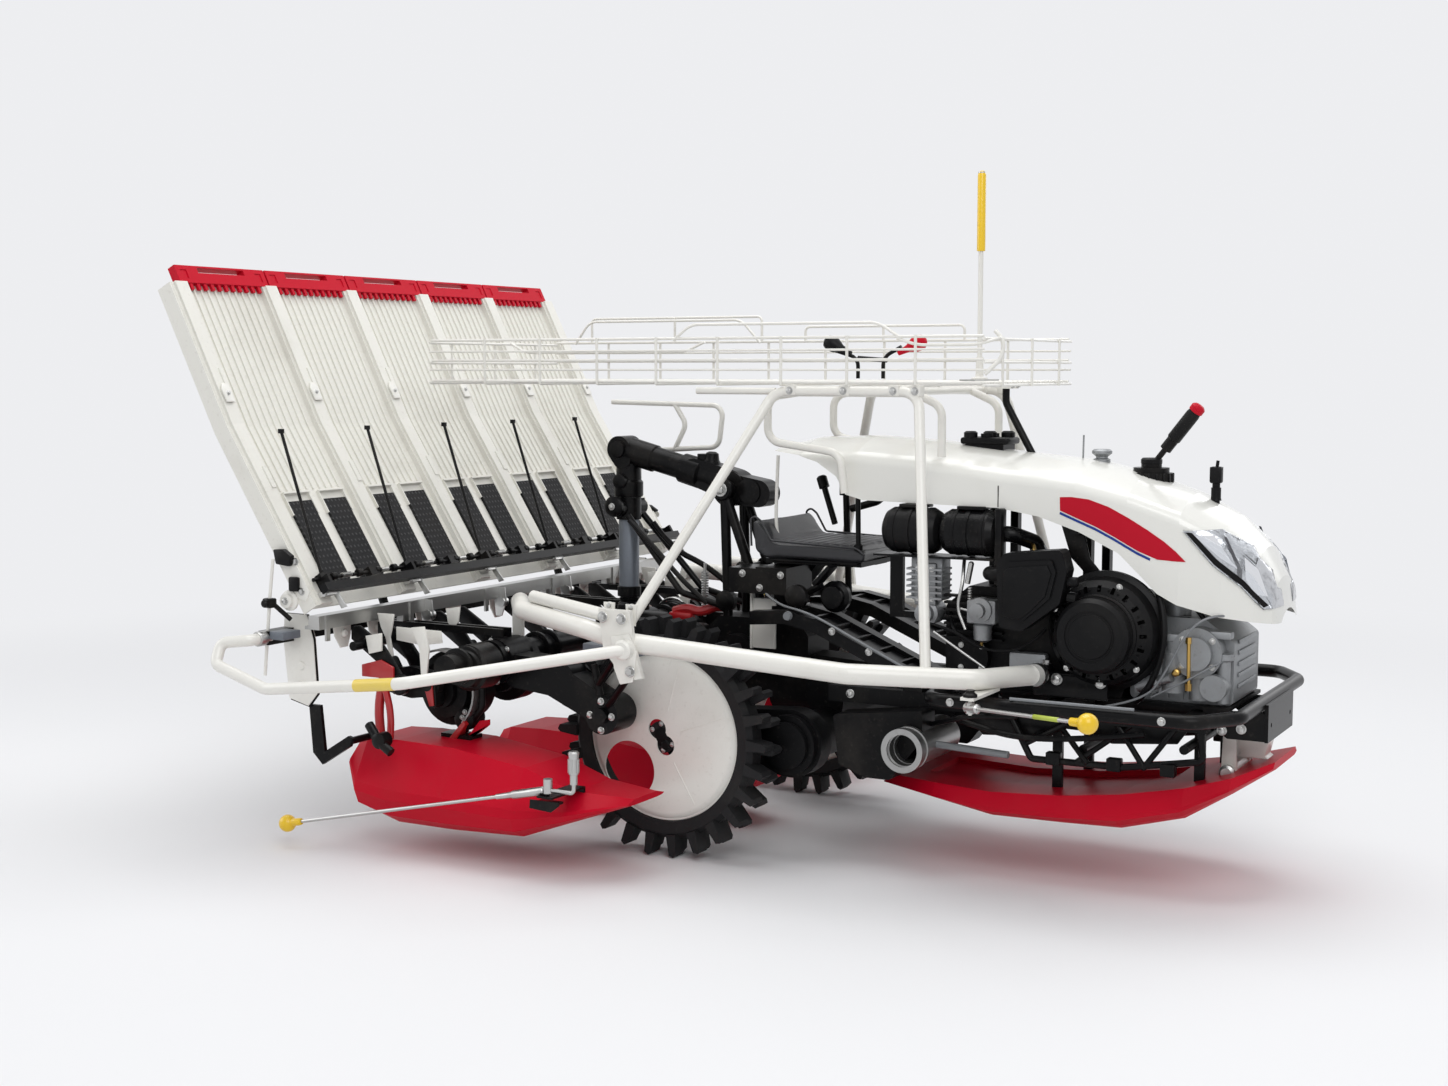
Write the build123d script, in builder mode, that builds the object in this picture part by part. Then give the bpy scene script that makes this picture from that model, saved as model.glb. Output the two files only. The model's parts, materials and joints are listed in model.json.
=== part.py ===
"""Five-row rice transplanter with a sloping seedling tray, lugged wheels and floats.

Millimetres, +X forward, +Y to the machine's left, +Z up, floor at Z 0.
Places along the machine are measured from the wheel axle and moved by AXLE_X.
"""
import os
from math import atan2, cos, hypot, pi, radians, sin

from build123d import *

# --- driving dimensions -----------------------------------------------------
AXLE_X = -95.15         # wheel axle, from the middle of the machine's length
TRACK = 800.0            # between the middles of the two tyres
RUNNING_GAP = 6.0        # kept between pieces that move past each other
PIN_GAP = 0.6            # around shafts and pins that turn

# wheels
WHEEL_R = 300.0          # to the tips of the lugs
LUG_HEIGHT = 46.0
LUG_COUNT = 26
LUG_THICKNESS = 17.0
LUG_SKEW = 3.2           # degrees between the two halves of each lug
TYRE_WIDTH = 88.0
RIM_R = WHEEL_R - LUG_HEIGHT - 42
RIM_WALL = 5.0
DISC_THICKNESS = 4.0
DISC_FACE = 27.0         # disc's inner face, out from the wheel's middle plane
DISC_CROWN = 9.0
DISC_HOLE_R = RIM_R * 0.35
DISC_HOLE_OFFSET = RIM_R * 0.62
DISC_HOLE_ANGLE = 224.0
KEYHOLE_R = RIM_R * 0.1
KEYHOLE_SPAN = RIM_R * 0.26
KEYHOLE_ANGLE = 124.0
HUB_R = 40.0
AXLE_R = 17.0
SPOKES = 3
SPOKE_WIDTH = 38.0

# swing arms that lower the wheels
PIVOT_AHEAD = 300.0      # pivot shaft ahead of the axle
PIVOT_Z = 292.0
ARM_Y = TRACK / 2 - 115   # middle plane of each chain case
ARM_WIDTH = 58.0
ARM_PIVOT_R = 84.0
ARM_AXLE_R = 58.0
SHAFT_R = 26.0

# chassis
CASE_HALF = 62.0         # half width of the gear case over the axle
CASE_TOP = 560.0
SPINE_TOP = 496.0        # top of the beam from the gear case back to the planting tube
BED_Z = 444.0            # top of the engine bed
BED_HALF = 150.0
BED_PLATE = 8.0
BED_REAR = 624.0
RAIL_OUT = 226.0         # outer faces of the two long rails under the bed
BED_FRONT = 1330.0
BUMPER_R = 16.0
BUMPER_Z = 451.0
BUMPER_HALF = 400.0
BUMPER_REAR = 690.0
BUMPER_FRONT = 1388.0
BRACKET_HALF = 125.0
SPLIT = 0.3              # between flat welded pieces that lie against each other
BRACKET_WALL = 8.0
BRACKET_HOLES_Y = 190.0
BRACKET_HOLES_Z = 405.0
BRACKET_HOLE_R = 5.5

# planting section
ROWS = 5
ROW_PITCH = 330.0
CASE_ROWS = (-1.5, 0.5, 1.5)     # drive cases, in rows from the middle
PLANTING_AXLE_X = -590.0
PLANTING_AXLE_Z = 425.0
PLANTING_SHAFT_R = 13.0
PLANTING_TUBE_X = -430.0
PLANTING_TUBE_Z = 480.0
PLANTING_TUBE_R = 34.0
ROTOR_SPAN = 112.0       # between the two claws' pivots
ROTOR_END_R = 40.0
ROTOR_WIDTH = 34.0
CLAW_REACH = 46.0
DRIVE_WIDTH = 84.0
BEAM_X = -860.0          # rear cross rail that the guards clamp to
BEAM_Z = 548.0
BEAM_R = 17.0
SECTION_HALF = 905.0     # half the length of the rear cross rail
END_PLATE_Y = 806.0
END_PLATE_WALL = 6.0

# seedling tray: X and Z of its foot, of the bend and of its head
TRAY_FOOT = (-742.0, 624.0)
TRAY_MID = (-1022.0, 1062.0)
TRAY_HEAD = (-1205.0, 1424.0)
TRAY_PLATE = 6.0
RIB_COUNT = 10
RIB_HEIGHT = 5.0
RIB_WIDTH = 5.0
LANE_RAIL_WIDTH = 58.0
LANE_RAIL_HEIGHT = 22.0
HANDLE_HEIGHT = 50.0
HANDLE_DEPTH = 24.0
HANDLE_SLOT = (170.0, 15.0)
COMB_COUNT = 11
BELT_WIDTH = 86.0
BELT_SPACING = 132.0
BELT_LENGTH = 232.0
BELT_START = 62.0
BELT_THICKNESS = 8.0
PRESS_BAR_OUT = 64.0
PRESS_ROD_R = 4.0

# seat and lift
SEAT_BASE = 727.0
SEAT_HALF = 165.0
LIFT_PIN_Z = 895.0
LIFT_PIN_R = 11.0
LIFT_PIN_X = -30.0
POST_HALF = 52.0
POST_R = 13.0
LIFT_ARM_HALF = 30.0
MAST_X = -360.0
MAST_R = 25.0
MAST_FOOT = 500.0
MAST_TOP = 860.0
LIFT_ROD_R = 15.0
LIFT_ROD_TOP = 925.0

# tubes
GUARD_R = 14.5
GUARD_Y = SECTION_HALF + 95
KNUCKLE_Y = 600.0
FRAME_TUBE_R = 24.0
FRAME_TUBE_Z = 560.0     # at the knuckle
RACK_TUBE_R = 12.5
LOOP_R = 10.0
RACK_WIRE_R = 3.6
RACK_HALF = 300.0
RACK_Z = 1178.0
RACK_DEEP = 108.0
RACK_REAR = -800.0
RACK_FRONT = 790.0
MAST_ROD_X = 660.0
MAST_ROD_TOP = 1690.0
SLEEVE_LENGTH = 190.0

# hood
HOOD_HALF = 178.0
HOOD_TOP = 1040.0
HOOD_LOW = 888.0
HOOD_WALL = 4.0
HOOD_SEAM = 780.0
HOOD_NOSE = 1424.0
HOOD_CORNER = 34.0
LAMP_PROUD = 5.0

# engine
FAN_X = 1045.0
FAN_Z = 605.0
FAN_R = 122.0
ENGINE_HALF = 150.0
ENGINE_TOP = 690.0
CASTING_WALL = 10.0
TANK_Z = 820.0
TANK_Y = -165.0
TANK_R = 55.0
TANK_SEAM = 3.0

# floats
FLOAT_SOLE = 0.0
FLOAT_HALF = 150.0
FLOAT_WALL = 8.0
SIDE_FLOAT_Y = TRACK / 2 + TYRE_WIDTH / 2 + 26 + FLOAT_HALF
SIDE_FLOAT_RISE = 76.0   # the side floats hang this far above the middle one

# markers
MARKER_ROD_R = 4.5
MARKER_PIN_R = 4.0
BALL_R = 21.0
LINE_MARKER_Y = 812.0
LINE_MARKER_LENGTH = 800.0
SIDE_MARKER_REACH = 390.0

SIDES = (("right", -1), ("left", 1))
os.makedirs("parts", exist_ok=True)


def at(x, y, z):
    """A place given from the wheel axle."""
    return (AXLE_X + x, y, z)


def xz(*points):
    """Outline points in X and Z, given from the wheel axle."""
    return [(AXLE_X + x, z) for x, z in points]


def save(builder, name):
    """Label a finished sub-part and write its file."""
    builder.part.label = name
    export_step(builder.part, f"parts/{name}.step")


def bar(points, radius, bend=0.0):
    """Add a round bar, bent or straight, through points to the part being built."""
    with BuildLine() as path:
        if bend and len(points) > 2:
            FilletPolyline(*points, radius=bend)
        else:
            Polyline(*points)
    with BuildSketch(Plane(path.line @ 0, z_dir=path.line % 0)) as section:
        Circle(radius)
    sweep(section.sketch, path=path.line, transition=Transition.ROUND)


def block(low, high, mode=Mode.ADD):
    """Add a box between two opposite corners to the part being built."""
    ends = [sorted(pair) for pair in zip(low, high)]
    with Locations(tuple((a + b) / 2 for a, b in ends)):
        Box(*[b - a for a, b in ends], mode=mode)


def across(x, z, radius, y_low, y_high, mode=Mode.ADD):
    """Add a round bar that runs across the machine, placed from the axle."""
    low, high = sorted((y_low, y_high))
    with Locations(Plane(origin=at(x, low, z), z_dir=(0, 1, 0))):
        Cylinder(radius, high - low, align=(Align.CENTER, Align.CENTER, Align.MIN), mode=mode)


def upright(place, radius, height, mode=Mode.ADD):
    """Add an upright round bar standing on a place."""
    with Locations(place):
        Cylinder(radius, height, align=(Align.CENTER, Align.CENTER, Align.MIN), mode=mode)


def side_plane(y):
    """Plane with its outline in X and Z, at a place across the machine."""
    return Plane(origin=(0, y, 0), x_dir=(1, 0, 0), z_dir=(0, -1, 0))


def plate(outline, y_low, y_high, mode=Mode.ADD, corner=0.0):
    """Add a plate with an outline in X and Z between two places across the machine."""
    low, high = sorted((y_low, y_high))
    with BuildSketch(side_plane(low)) as face:
        with BuildLine():
            Polyline(*outline, close=True)
        make_face()
        if corner:
            fillet(face.vertices(), corner)
    extrude(face.sketch, amount=-(high - low), mode=mode)


def link(circles, y_low, y_high, mode=Mode.ADD):
    """Add a plate around circles given as x, z and radius, placed from the axle."""
    low, high = sorted((y_low, y_high))
    with BuildSketch(side_plane(low)) as face:
        for x, z, radius in circles:
            with Locations((AXLE_X + x, z)):
                Circle(radius)
        make_hull()
    extrude(face.sketch, amount=-(high - low), mode=mode)


def skin_height(skin, x):
    """Height of a line of X and Z points at a place along it."""
    for (x0, z0), (x1, z1) in zip(skin, skin[1:]):
        if x0 <= x <= x1:
            return z0 + (z1 - z0) * (x - x0) / (x1 - x0)
    return skin[-1][1] if x > skin[-1][0] else skin[0][1]


def rows():
    """Middle of each row across the machine."""
    return [(index - (ROWS - 1) / 2) * ROW_PITCH for index in range(ROWS)]


# --- wheels: a steel rim with moulded lugs, spokes and hub, and a white cover disc ----
tyre_r = WHEEL_R - LUG_HEIGHT
for side, sign in SIDES:
    mid_y = sign * TRACK / 2
    centre = at(0, mid_y, WHEEL_R)
    half = TYRE_WIDTH / 2
    hub_plane = Plane(origin=centre, x_dir=(1, 0, 0), z_dir=(0, sign, 0))
    section_plane = Plane(origin=centre, x_dir=(1, 0, 0), z_dir=(0, 0, 1))

    with BuildPart() as tyre:
        with BuildSketch(section_plane):
            with BuildLine():
                Polyline((RIM_R, -half * 0.62), (tyre_r - 12, -half * 0.78), (tyre_r, -half * 0.5),
                         (tyre_r, half * 0.5), (tyre_r - 12, half * 0.78), (RIM_R, half * 0.62),
                         close=True)
            make_face()
        revolve(axis=Axis(centre, (0, 1, 0)))
        for low, high, turn in ((-half, 2.0, -LUG_SKEW / 2), (-2.0, half, LUG_SKEW / 2)):
            with BuildSketch(hub_plane.offset(low)):
                with PolarLocations(0, LUG_COUNT, start_angle=turn):
                    Polygon((tyre_r - 10, -LUG_THICKNESS), (WHEEL_R - 6, -LUG_THICKNESS * 0.95),
                            (WHEEL_R, -LUG_THICKNESS * 0.3), (WHEEL_R - 7, LUG_THICKNESS * 0.15),
                            (tyre_r - 10, LUG_THICKNESS * 0.6), align=None)
            extrude(amount=high - low)
        with BuildSketch(hub_plane.offset(-6)):
            with PolarLocations(0, SPOKES, start_angle=60):
                with Locations((RIM_R / 2 + 2, 0)):
                    Rectangle(RIM_R, SPOKE_WIDTH)
        extrude(amount=10)
        across(0, WHEEL_R, HUB_R, mid_y - sign * half, mid_y + sign * DISC_FACE)
        across(0, WHEEL_R, AXLE_R + PIN_GAP, mid_y - sign * (half + 1), mid_y + sign * 18,
               mode=Mode.SUBTRACT)
    save(tyre, f"tyre_{side}")

    with BuildPart() as disc:
        face_y, back_y = sign * (DISC_FACE + DISC_THICKNESS), sign * DISC_FACE
        edge_y = sign * (DISC_FACE - DISC_CROWN)
        with BuildSketch(section_plane):
            with BuildLine():
                Polyline((0, face_y), (HUB_R + 30, face_y), (RIM_R - 22, face_y - sign * 3),
                         (RIM_R - 6, edge_y), (RIM_R, edge_y), (RIM_R, edge_y - sign * 11),
                         (RIM_R - RIM_WALL, edge_y - sign * 11),
                         (RIM_R - RIM_WALL - 3, edge_y - sign * 2),
                         (RIM_R - 24, back_y - sign * 3), (HUB_R + 30, back_y), (0, back_y),
                         close=True)
            make_face()
        revolve(axis=Axis(centre, (0, 1, 0)))
        with BuildSketch(hub_plane.offset(-60)):
            hole = radians(DISC_HOLE_ANGLE) if sign < 0 else radians(180 - DISC_HOLE_ANGLE)
            with Locations((DISC_HOLE_OFFSET * cos(hole), -sign * -1 * DISC_HOLE_OFFSET * sin(hole))):
                Circle(DISC_HOLE_R)
            with Locations(Location((0, 0, 0), (0, 0, KEYHOLE_ANGLE))):
                SlotCenterToCenter(KEYHOLE_SPAN, KEYHOLE_R * 1.15)
                with Locations((-KEYHOLE_SPAN / 2, 0), (KEYHOLE_SPAN / 2, 0)):
                    Circle(KEYHOLE_R)
        extrude(amount=120, mode=Mode.SUBTRACT)
    save(disc, f"wheel_disc_{side}")

# --- swing arms: chain cases on a shared pivot shaft, with the axle stubs -----------------
with BuildPart() as swing_arms:
    for side, sign in SIDES:
        inner, outer = sign * (ARM_Y - ARM_WIDTH / 2), sign * (ARM_Y + ARM_WIDTH / 2)
        link([(PIVOT_AHEAD, PIVOT_Z, ARM_PIVOT_R), (0, WHEEL_R, ARM_AXLE_R)], inner, outer)
        across(PIVOT_AHEAD, PIVOT_Z, ARM_PIVOT_R - 10, outer - sign, outer + sign * 20)
        across(PIVOT_AHEAD, PIVOT_Z, ARM_PIVOT_R - 26, outer + sign * 19, outer + sign * 34)
        across(0, WHEEL_R, ARM_AXLE_R - 12, outer - sign, outer + sign * 22)
        across(0, WHEEL_R, AXLE_R, inner, sign * (TRACK / 2 + 12))
    across(PIVOT_AHEAD, PIVOT_Z, SHAFT_R, -ARM_Y, ARM_Y)
save(swing_arms, "swing_arms")

# --- chassis ------------------------------------------------------------------------------
housing_y = ARM_Y - ARM_WIDTH / 2 - RUNNING_GAP
case_front = PIVOT_AHEAD + ARM_PIVOT_R + RUNNING_GAP + 14
with BuildPart() as main_frame:
    plate(xz((-86, 352), (-86, 520), (-40, CASE_TOP), (196, CASE_TOP), (222, 520), (222, 352)),
          -CASE_HALF, CASE_HALF)
    across(20, 455, 62, -CASE_HALF - 34, CASE_HALF + 34)
    plate(xz((130, 396), (130, 478), (640, 452), (640, 400)), -46, 46)
    across(PIVOT_AHEAD, PIVOT_Z, SHAFT_R + 34, -housing_y, housing_y)
    plate(xz((255, 330), (242, 420), (358, 420), (345, 330)), -120, 120)
    across(PIVOT_AHEAD, PIVOT_Z, SHAFT_R + PIN_GAP, -housing_y - 1, housing_y + 1,
           mode=Mode.SUBTRACT)
    for side, sign in SIDES:
        plate(xz((case_front, 372), (case_front + 16, 250), (490, 224), (556, 224), (640, 330),
                 (640, 400)), sign * 216, sign * 292, corner=10)
        plate(xz((360, 392), (360, 432), (1300, 432), (1300, 396)), sign * (RAIL_OUT - 30),
              sign * RAIL_OUT)
    for x in (430, 600, 900, 1240):
        block(at(x, -200, 398), at(x + 36, 200, 430))
    block(at(BED_REAR, -BED_HALF, BED_Z - BED_PLATE), at(BED_FRONT, BED_HALF, BED_Z))
    for x in (BED_REAR + 12, BED_FRONT - 60):
        block(at(x, -BED_HALF, 424), at(x + 40, BED_HALF, BED_Z - BED_PLATE + 2))
save(main_frame, "main_frame")

with BuildPart() as bumper:
    for side, sign in SIDES:
        bar([at(BUMPER_REAR, sign * RAIL_OUT, BUMPER_Z),
             at(BUMPER_REAR, sign * BUMPER_HALF, BUMPER_Z),
             at(BUMPER_FRONT - 70, sign * BUMPER_HALF, BUMPER_Z),
             at(BUMPER_FRONT, sign * (BUMPER_HALF - 110), BUMPER_Z),
             at(BUMPER_FRONT, 0, BUMPER_Z)], BUMPER_R, bend=50)
        for x in (800, 1220):
            bar([at(x, sign * (RAIL_OUT - 2), 414), at(x, sign * BUMPER_HALF, BUMPER_Z)], 9)
    bracket_rear = BUMPER_FRONT + BUMPER_R + SPLIT
    bracket_front = bracket_rear + BRACKET_WALL
    block(at(bracket_rear, -BRACKET_HALF, 368), at(bracket_front, BRACKET_HALF, 455))
    for side, sign in SIDES:
        plate(xz((1277, 400), (1320, 370), (bracket_rear - SPLIT, 370),
                 (bracket_rear - SPLIT, BUMPER_Z - BUMPER_R - SPLIT),
                 (1277, BUMPER_Z - BUMPER_R - SPLIT)),
              sign * (BRACKET_HALF - BRACKET_WALL), sign * BRACKET_HALF)
    with Locations(Plane(origin=at(bracket_front, 0, BRACKET_HOLES_Z), x_dir=(0, 1, 0),
                         z_dir=(1, 0, 0))):
        with GridLocations(BRACKET_HOLES_Y, 1, 2, 1):
            Cylinder(BRACKET_HOLE_R, 40, mode=Mode.SUBTRACT)
save(bumper, "bumper")

# --- engine -----------------------------------------------------------------------------------
wall = CASTING_WALL
with BuildPart() as engine_block:
    plate(xz((640, 470), (640, 640), (700, ENGINE_TOP), (1000, ENGINE_TOP), (1090, 660), (1090, 470)),
          -ENGINE_HALF, ENGINE_HALF, corner=16)
    plate(xz((640 + wall, 480), (640 + wall, 636), (700 + wall, ENGINE_TOP - wall),
             (1000 - wall, ENGINE_TOP - wall), (1090 - wall, 655), (1090 - wall, 480)),
          -ENGINE_HALF + wall, ENGINE_HALF - wall, mode=Mode.SUBTRACT)
    plate(xz((654, BED_Z), (644, 480), (1086, 480), (1076, BED_Z)), -ENGINE_HALF + wall,
          ENGINE_HALF - wall)
    for index in range(7):
        fin_z = 560 + index * 17
        block(at(640, -ENGINE_HALF - 16, fin_z), at(790, -ENGINE_HALF + 2, fin_z + 6))
    across(715, 520, 44, -ENGINE_HALF - 26, -ENGINE_HALF + 2)
    across(845, 505, 30, -ENGINE_HALF - 20, -ENGINE_HALF + 2)
save(engine_block, "engine_block")

fan_plane = Plane(origin=at(FAN_X, 0, FAN_Z), x_dir=(1, 0, 0), z_dir=(0, 0, 1))
with BuildPart() as fan_housing:
    with BuildSketch(fan_plane):
        with BuildLine():
            Polyline((0, -ENGINE_HALF), (FAN_R + 18, -ENGINE_HALF), (FAN_R + 18, -166), (FAN_R + 6, -172),
                     (FAN_R, -206), (FAN_R - 14, -222), (FAN_R - 30, -228), (FAN_R - 30, -236),
                     (87, -240), (87, -276), (78, -286), (0, -288), close=True)
        make_face()
    revolve(axis=Axis(at(FAN_X, 0, FAN_Z), (0, 1, 0)))
    with BuildSketch(Plane(origin=at(FAN_X, -200, FAN_Z), x_dir=(1, 0, 0), z_dir=(0, -1, 0))):
        with PolarLocations(FAN_R - 18, 20):
            Rectangle(15, 9)
    extrude(amount=60, mode=Mode.SUBTRACT)
    with BuildSketch(Plane(origin=at(FAN_X, -284, FAN_Z), x_dir=(1, 0, 0), z_dir=(0, -1, 0))):
        Circle(60)
        Circle(54, mode=Mode.SUBTRACT)
    extrude(amount=10, mode=Mode.SUBTRACT)
save(fan_housing, "fan_housing")

with BuildPart() as air_cleaner:
    plate(xz((826, 612), (880, 606), (925, 640), (972, 676), (988, 752), (974, 800), (838, 786),
             (818, 760)), -285, -232, corner=12)
    plate(xz((832, 620), (880, 614), (892, 640), (892, 780), (844, 776), (826, 756)), -234,
          -ENGINE_HALF, corner=8)
    plate(xz((846, 636), (884, 630), (915, 656), (950, 688), (964, 748), (954, 776), (848, 766),
             (838, 748)), -292, -284, corner=8)
    bar([at(826, -216, 728), at(770, -216, 728), at(770, -104, 728), at(770, -104, ENGINE_TOP)], 17,
        bend=20)
save(air_cleaner, "air_cleaner")


def canister(x, length):
    """Add a round canister along the machine with a raised seam round its middle."""
    seam = TANK_R + TANK_SEAM
    with BuildSketch(Plane(origin=at(x, TANK_Y, TANK_Z), x_dir=(1, 0, 0), z_dir=(0, -1, 0))) as face:
        with BuildLine():
            Polyline((0, 0), (0, TANK_R - 22), (8, TANK_R - 8), (22, TANK_R),
                     (length / 2 - 5, TANK_R), (length / 2 - 5, seam), (length / 2 + 5, seam),
                     (length / 2 + 5, TANK_R), (length - 22, TANK_R), (length - 8, TANK_R - 8),
                     (length, TANK_R - 22), (length, 0), close=True)
        make_face()
    revolve(face.sketch, axis=Axis(at(x, TANK_Y, TANK_Z), (1, 0, 0)))


with BuildPart() as fuel_tank:
    canister(488, 148)
save(fuel_tank, "fuel_tank")

with BuildPart() as muffler:
    canister(638, 146)
    bar([at(780, TANK_Y, TANK_Z), at(814, TANK_Y, TANK_Z), at(852, -96, TANK_Z - 26),
         at(852, -96, ENGINE_TOP)], 19, bend=26)
save(muffler, "muffler")

with BuildPart() as gearbox:
    plate(xz((1090, BED_Z), (1090, 600), (1150, 640), (1262, 640), (1330, 590), (1330, BED_Z)),
          -116, 116, corner=14)
    plate(xz((1090 + wall, BED_Z + wall), (1090 + wall, 595), (1154, 640 - wall), (1258, 640 - wall),
             (1330 - wall, 584), (1330 - wall, BED_Z + wall)), -116 + wall, 116 - wall,
          mode=Mode.SUBTRACT)
    across(1254, 566, 58, -158, -114)
    across(1254, 566, 38, -176, -156)
    across(1296, 490, 30, -168, -114)
    block(at(1140, -150, 470), at(1196, -112, 540))
    plate(xz((1110, 464), (1100, 540), (1128, 572), (1150, 520), (1160, 464)), -146, -112)
    upright(at(1180, -60, 638), 34, 46)
    upright(at(1250, 30, 638), 26, 30)
    for index in range(5):
        x = 1106 + index * 34
        block(at(x, -122, BED_Z + 8), at(x + 8, -112, 600 if index < 3 else 500))
save(gearbox, "gearbox")


# --- hood: arched shells cut off along their lower edge ---------------------------------------
def hood_loft(stations, inset, mode=Mode.ADD):
    """Loft the hood's arched sections, each given as x, crown height and half width."""
    sections = []
    for x, crown, half in stations:
        w, top, shoulder = half - inset, crown - inset, crown - 46
        with BuildSketch(Plane(origin=at(x, 0, 0), x_dir=(0, 1, 0), z_dir=(1, 0, 0))) as section:
            with BuildLine():
                Line((-w, 540), (-w, shoulder))
                ThreePointArc((-w, shoulder), (0, top), (w, shoulder))
                Line((w, shoulder), (w, 540))
                Line((w, 540), (-w, 540))
            make_face()
            corners = [v for v in section.vertices() if v.Y > 541]
            fillet(corners, HOOD_CORNER - inset)
        sections.append(section.sketch.faces()[0])
    loft(sections, ruled=True, mode=mode)


rear_stations = [(128, 1012, 132), (240, 1037, 150), (400, 1043, 163), (560, 1034, 172),
                 (HOOD_SEAM, 1010, HOOD_HALF)]
front_stations = [(HOOD_SEAM, 1010, HOOD_HALF), (970, 993, 184), (1093, 963, 183), (1213, 922, 176),
                  (1307, 872, 162), (1377, 804, 142), (1412, 738, 116), (HOOD_NOSE, 668, 92)]
rear_rim = [(100, 990), (128, 1000), (230, 994), (290, 978), (345, 944), (372, HOOD_LOW + 12),
            (420, HOOD_LOW), (HOOD_SEAM, HOOD_LOW - 6)]
front_rim = [(HOOD_SEAM, HOOD_LOW - 6), (880, 866), (980, 834), (1076, 788), (1130, 736),
             (1165, 700), (1210, 676), (1300, 652), (HOOD_NOSE + 30, 634)]
for stations, rim, name in ((rear_stations, rear_rim, "hood_rear"),
                            (front_stations, front_rim, "hood_front")):
    edge = xz(*rim, (rim[-1][0], 500), (rim[0][0], 500))
    with BuildPart() as hood:
        hood_loft(stations, 0)
        hood_loft([(x, crown, half) for x, crown, half in stations], HOOD_WALL, Mode.SUBTRACT)
        plate(edge, -HOOD_HALF - 40, HOOD_HALF + 40, mode=Mode.SUBTRACT)
    save(hood, name)

lens_outline = xz((1222, 846), (1300, 850), (1358, 812), (1398, 756), (1420, 700), (1424, 674),
                  (1396, 672), (1350, 722), (1288, 770))
with BuildPart() as headlamps:
    hood_loft(front_stations, -LAMP_PROUD)
    hood_loft(front_stations, 0, Mode.SUBTRACT)
    plate(lens_outline, -HOOD_HALF - 40, HOOD_HALF + 40, mode=Mode.INTERSECT)
    block(at(1180, -46, 560), at(HOOD_NOSE + 60, 46, 1000), mode=Mode.SUBTRACT)
save(headlamps, "headlamps")

shelf_top = TANK_Z - TANK_R - TANK_SEAM
hood_rest, nose_rest, rest_depth = 724, 960, 20
with BuildPart() as engine_brackets:
    block(at(470, -206, shelf_top - 5), at(780, -126, shelf_top))
    block(at(486, -140, ENGINE_TOP - 90), at(520, -126, shelf_top - 4))
    block(at(486, -140, ENGINE_TOP - 90), at(640, -126, ENGINE_TOP - 74))
    for x, rim in ((hood_rest, rear_rim), (nose_rest, front_rim)):
        low, high = skin_height(rim, x), skin_height(rim, x + rest_depth)
        plate(xz((x, high - 6), (x, low), (x + rest_depth, high), (x + rest_depth, high - 6)),
              -HOOD_HALF - 5, HOOD_HALF + 5)
        for side, sign in SIDES:
            block(at(x, sign * 60, ENGINE_TOP), at(x + rest_depth, sign * 84, high - 4))
save(engine_brackets, "engine_brackets")

# --- levers and caps on and under the hood -------------------------------------------------------
with BuildPart() as control_levers:
    for radius, low, high in ((50, 936, 966), (42, 964, 978), (24, 976, 990)):
        upright(at(1096, 0, low), radius, high - low)
    bar([at(1096, 0, 980), at(1136, -6, 1030)], 7)
    bar([at(1130, -5, 1022), at(1206, -14, 1118)], 14)
    upright(at(1250, 0, 890), 9, 70)
    with Locations(at(1250, 0, 966)):
        Box(26, 20, 34)
    block(at(640, -40, HOOD_TOP - 30), at(740, 40, HOOD_TOP))
    for y in (-22, 22):
        upright(at(690, y, HOOD_TOP - 2), 15, 14)
    bar([at(730, 0, RACK_Z - RACK_WIRE_R - 12), at(730, 0, RACK_Z - 50), at(802, 0, 1000)], LOOP_R - 1,
        bend=30)
    bar([at(392, 160, HOOD_LOW + 34), at(300, 190, 858), at(222, 196, 836)], 10, bend=30)
    hood_loft(rear_stations, 0, Mode.SUBTRACT)
    hood_loft(front_stations, 0, Mode.SUBTRACT)
    bar([at(216, 196, 597), at(206, 196, 880)], 9)
    upright(at(205, 196, 872), 17, 44)
save(control_levers, "control_levers")

# --- seat and its box --------------------------------------------------------------------------
with BuildPart() as seat:
    plate(xz((110, 744), (104, 826), (118, 838), (136, 828), (166, 776), (404, 770), (430, 752),
             (424, 728), (392, SEAT_BASE), (140, SEAT_BASE)), -SEAT_HALF, SEAT_HALF, corner=7)
    for index in range(8):
        x = 180 + index * 28
        block(at(x, -SEAT_HALF + 22, 764), at(x + 12, SEAT_HALF - 22, 781 - index * 0.6))
save(seat, "seat")

with BuildPart() as seat_frame:
    plate(xz((108, CASE_TOP), (108, SEAT_BASE), (400, SEAT_BASE), (400, 714), (230, 704), (152, 610),
             (152, CASE_TOP)), -34, 34)
    block(at(130, -124, SEAT_BASE - 12), at(400, 124, SEAT_BASE))
    block(at(128, -176, 640), at(216, -30, 708))
    block(at(50, -176, 640), at(130, -74, 704))
save(seat_frame, "seat_frame")

# --- footrests: ribbed channels that slope down from the seat post ------------------------------------
step_skin = [(150, 604), (250, 612), (330, 596), (620, 470)]
with BuildPart() as steps:
    for side, sign in SIDES:
        for low, high in ((92, 128), (214, 250)):
            under = [(x, z - 34) for x, z in reversed(step_skin)]
            plate(xz(*step_skin, *under), sign * low, sign * high)
        under = [(x, z - 20) for x, z in reversed(step_skin)]
        upper = [(x, z - 12) for x, z in step_skin]
        plate(xz(*upper, *under), sign * 100, sign * 240)
        for index in range(7):
            x = 190 + index * 58
            block(at(x, sign * 124, skin_height(step_skin, x) - 18),
                  at(x + 12, sign * 218, skin_height(step_skin, x) - 5))
        plate(xz((560, 490), (590, 474), (620, 432), (560, 432)), sign * 198, sign * 224)
    block(at(158, -100, CASE_TOP), at(240, 100, 592))
save(steps, "steps")

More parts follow.
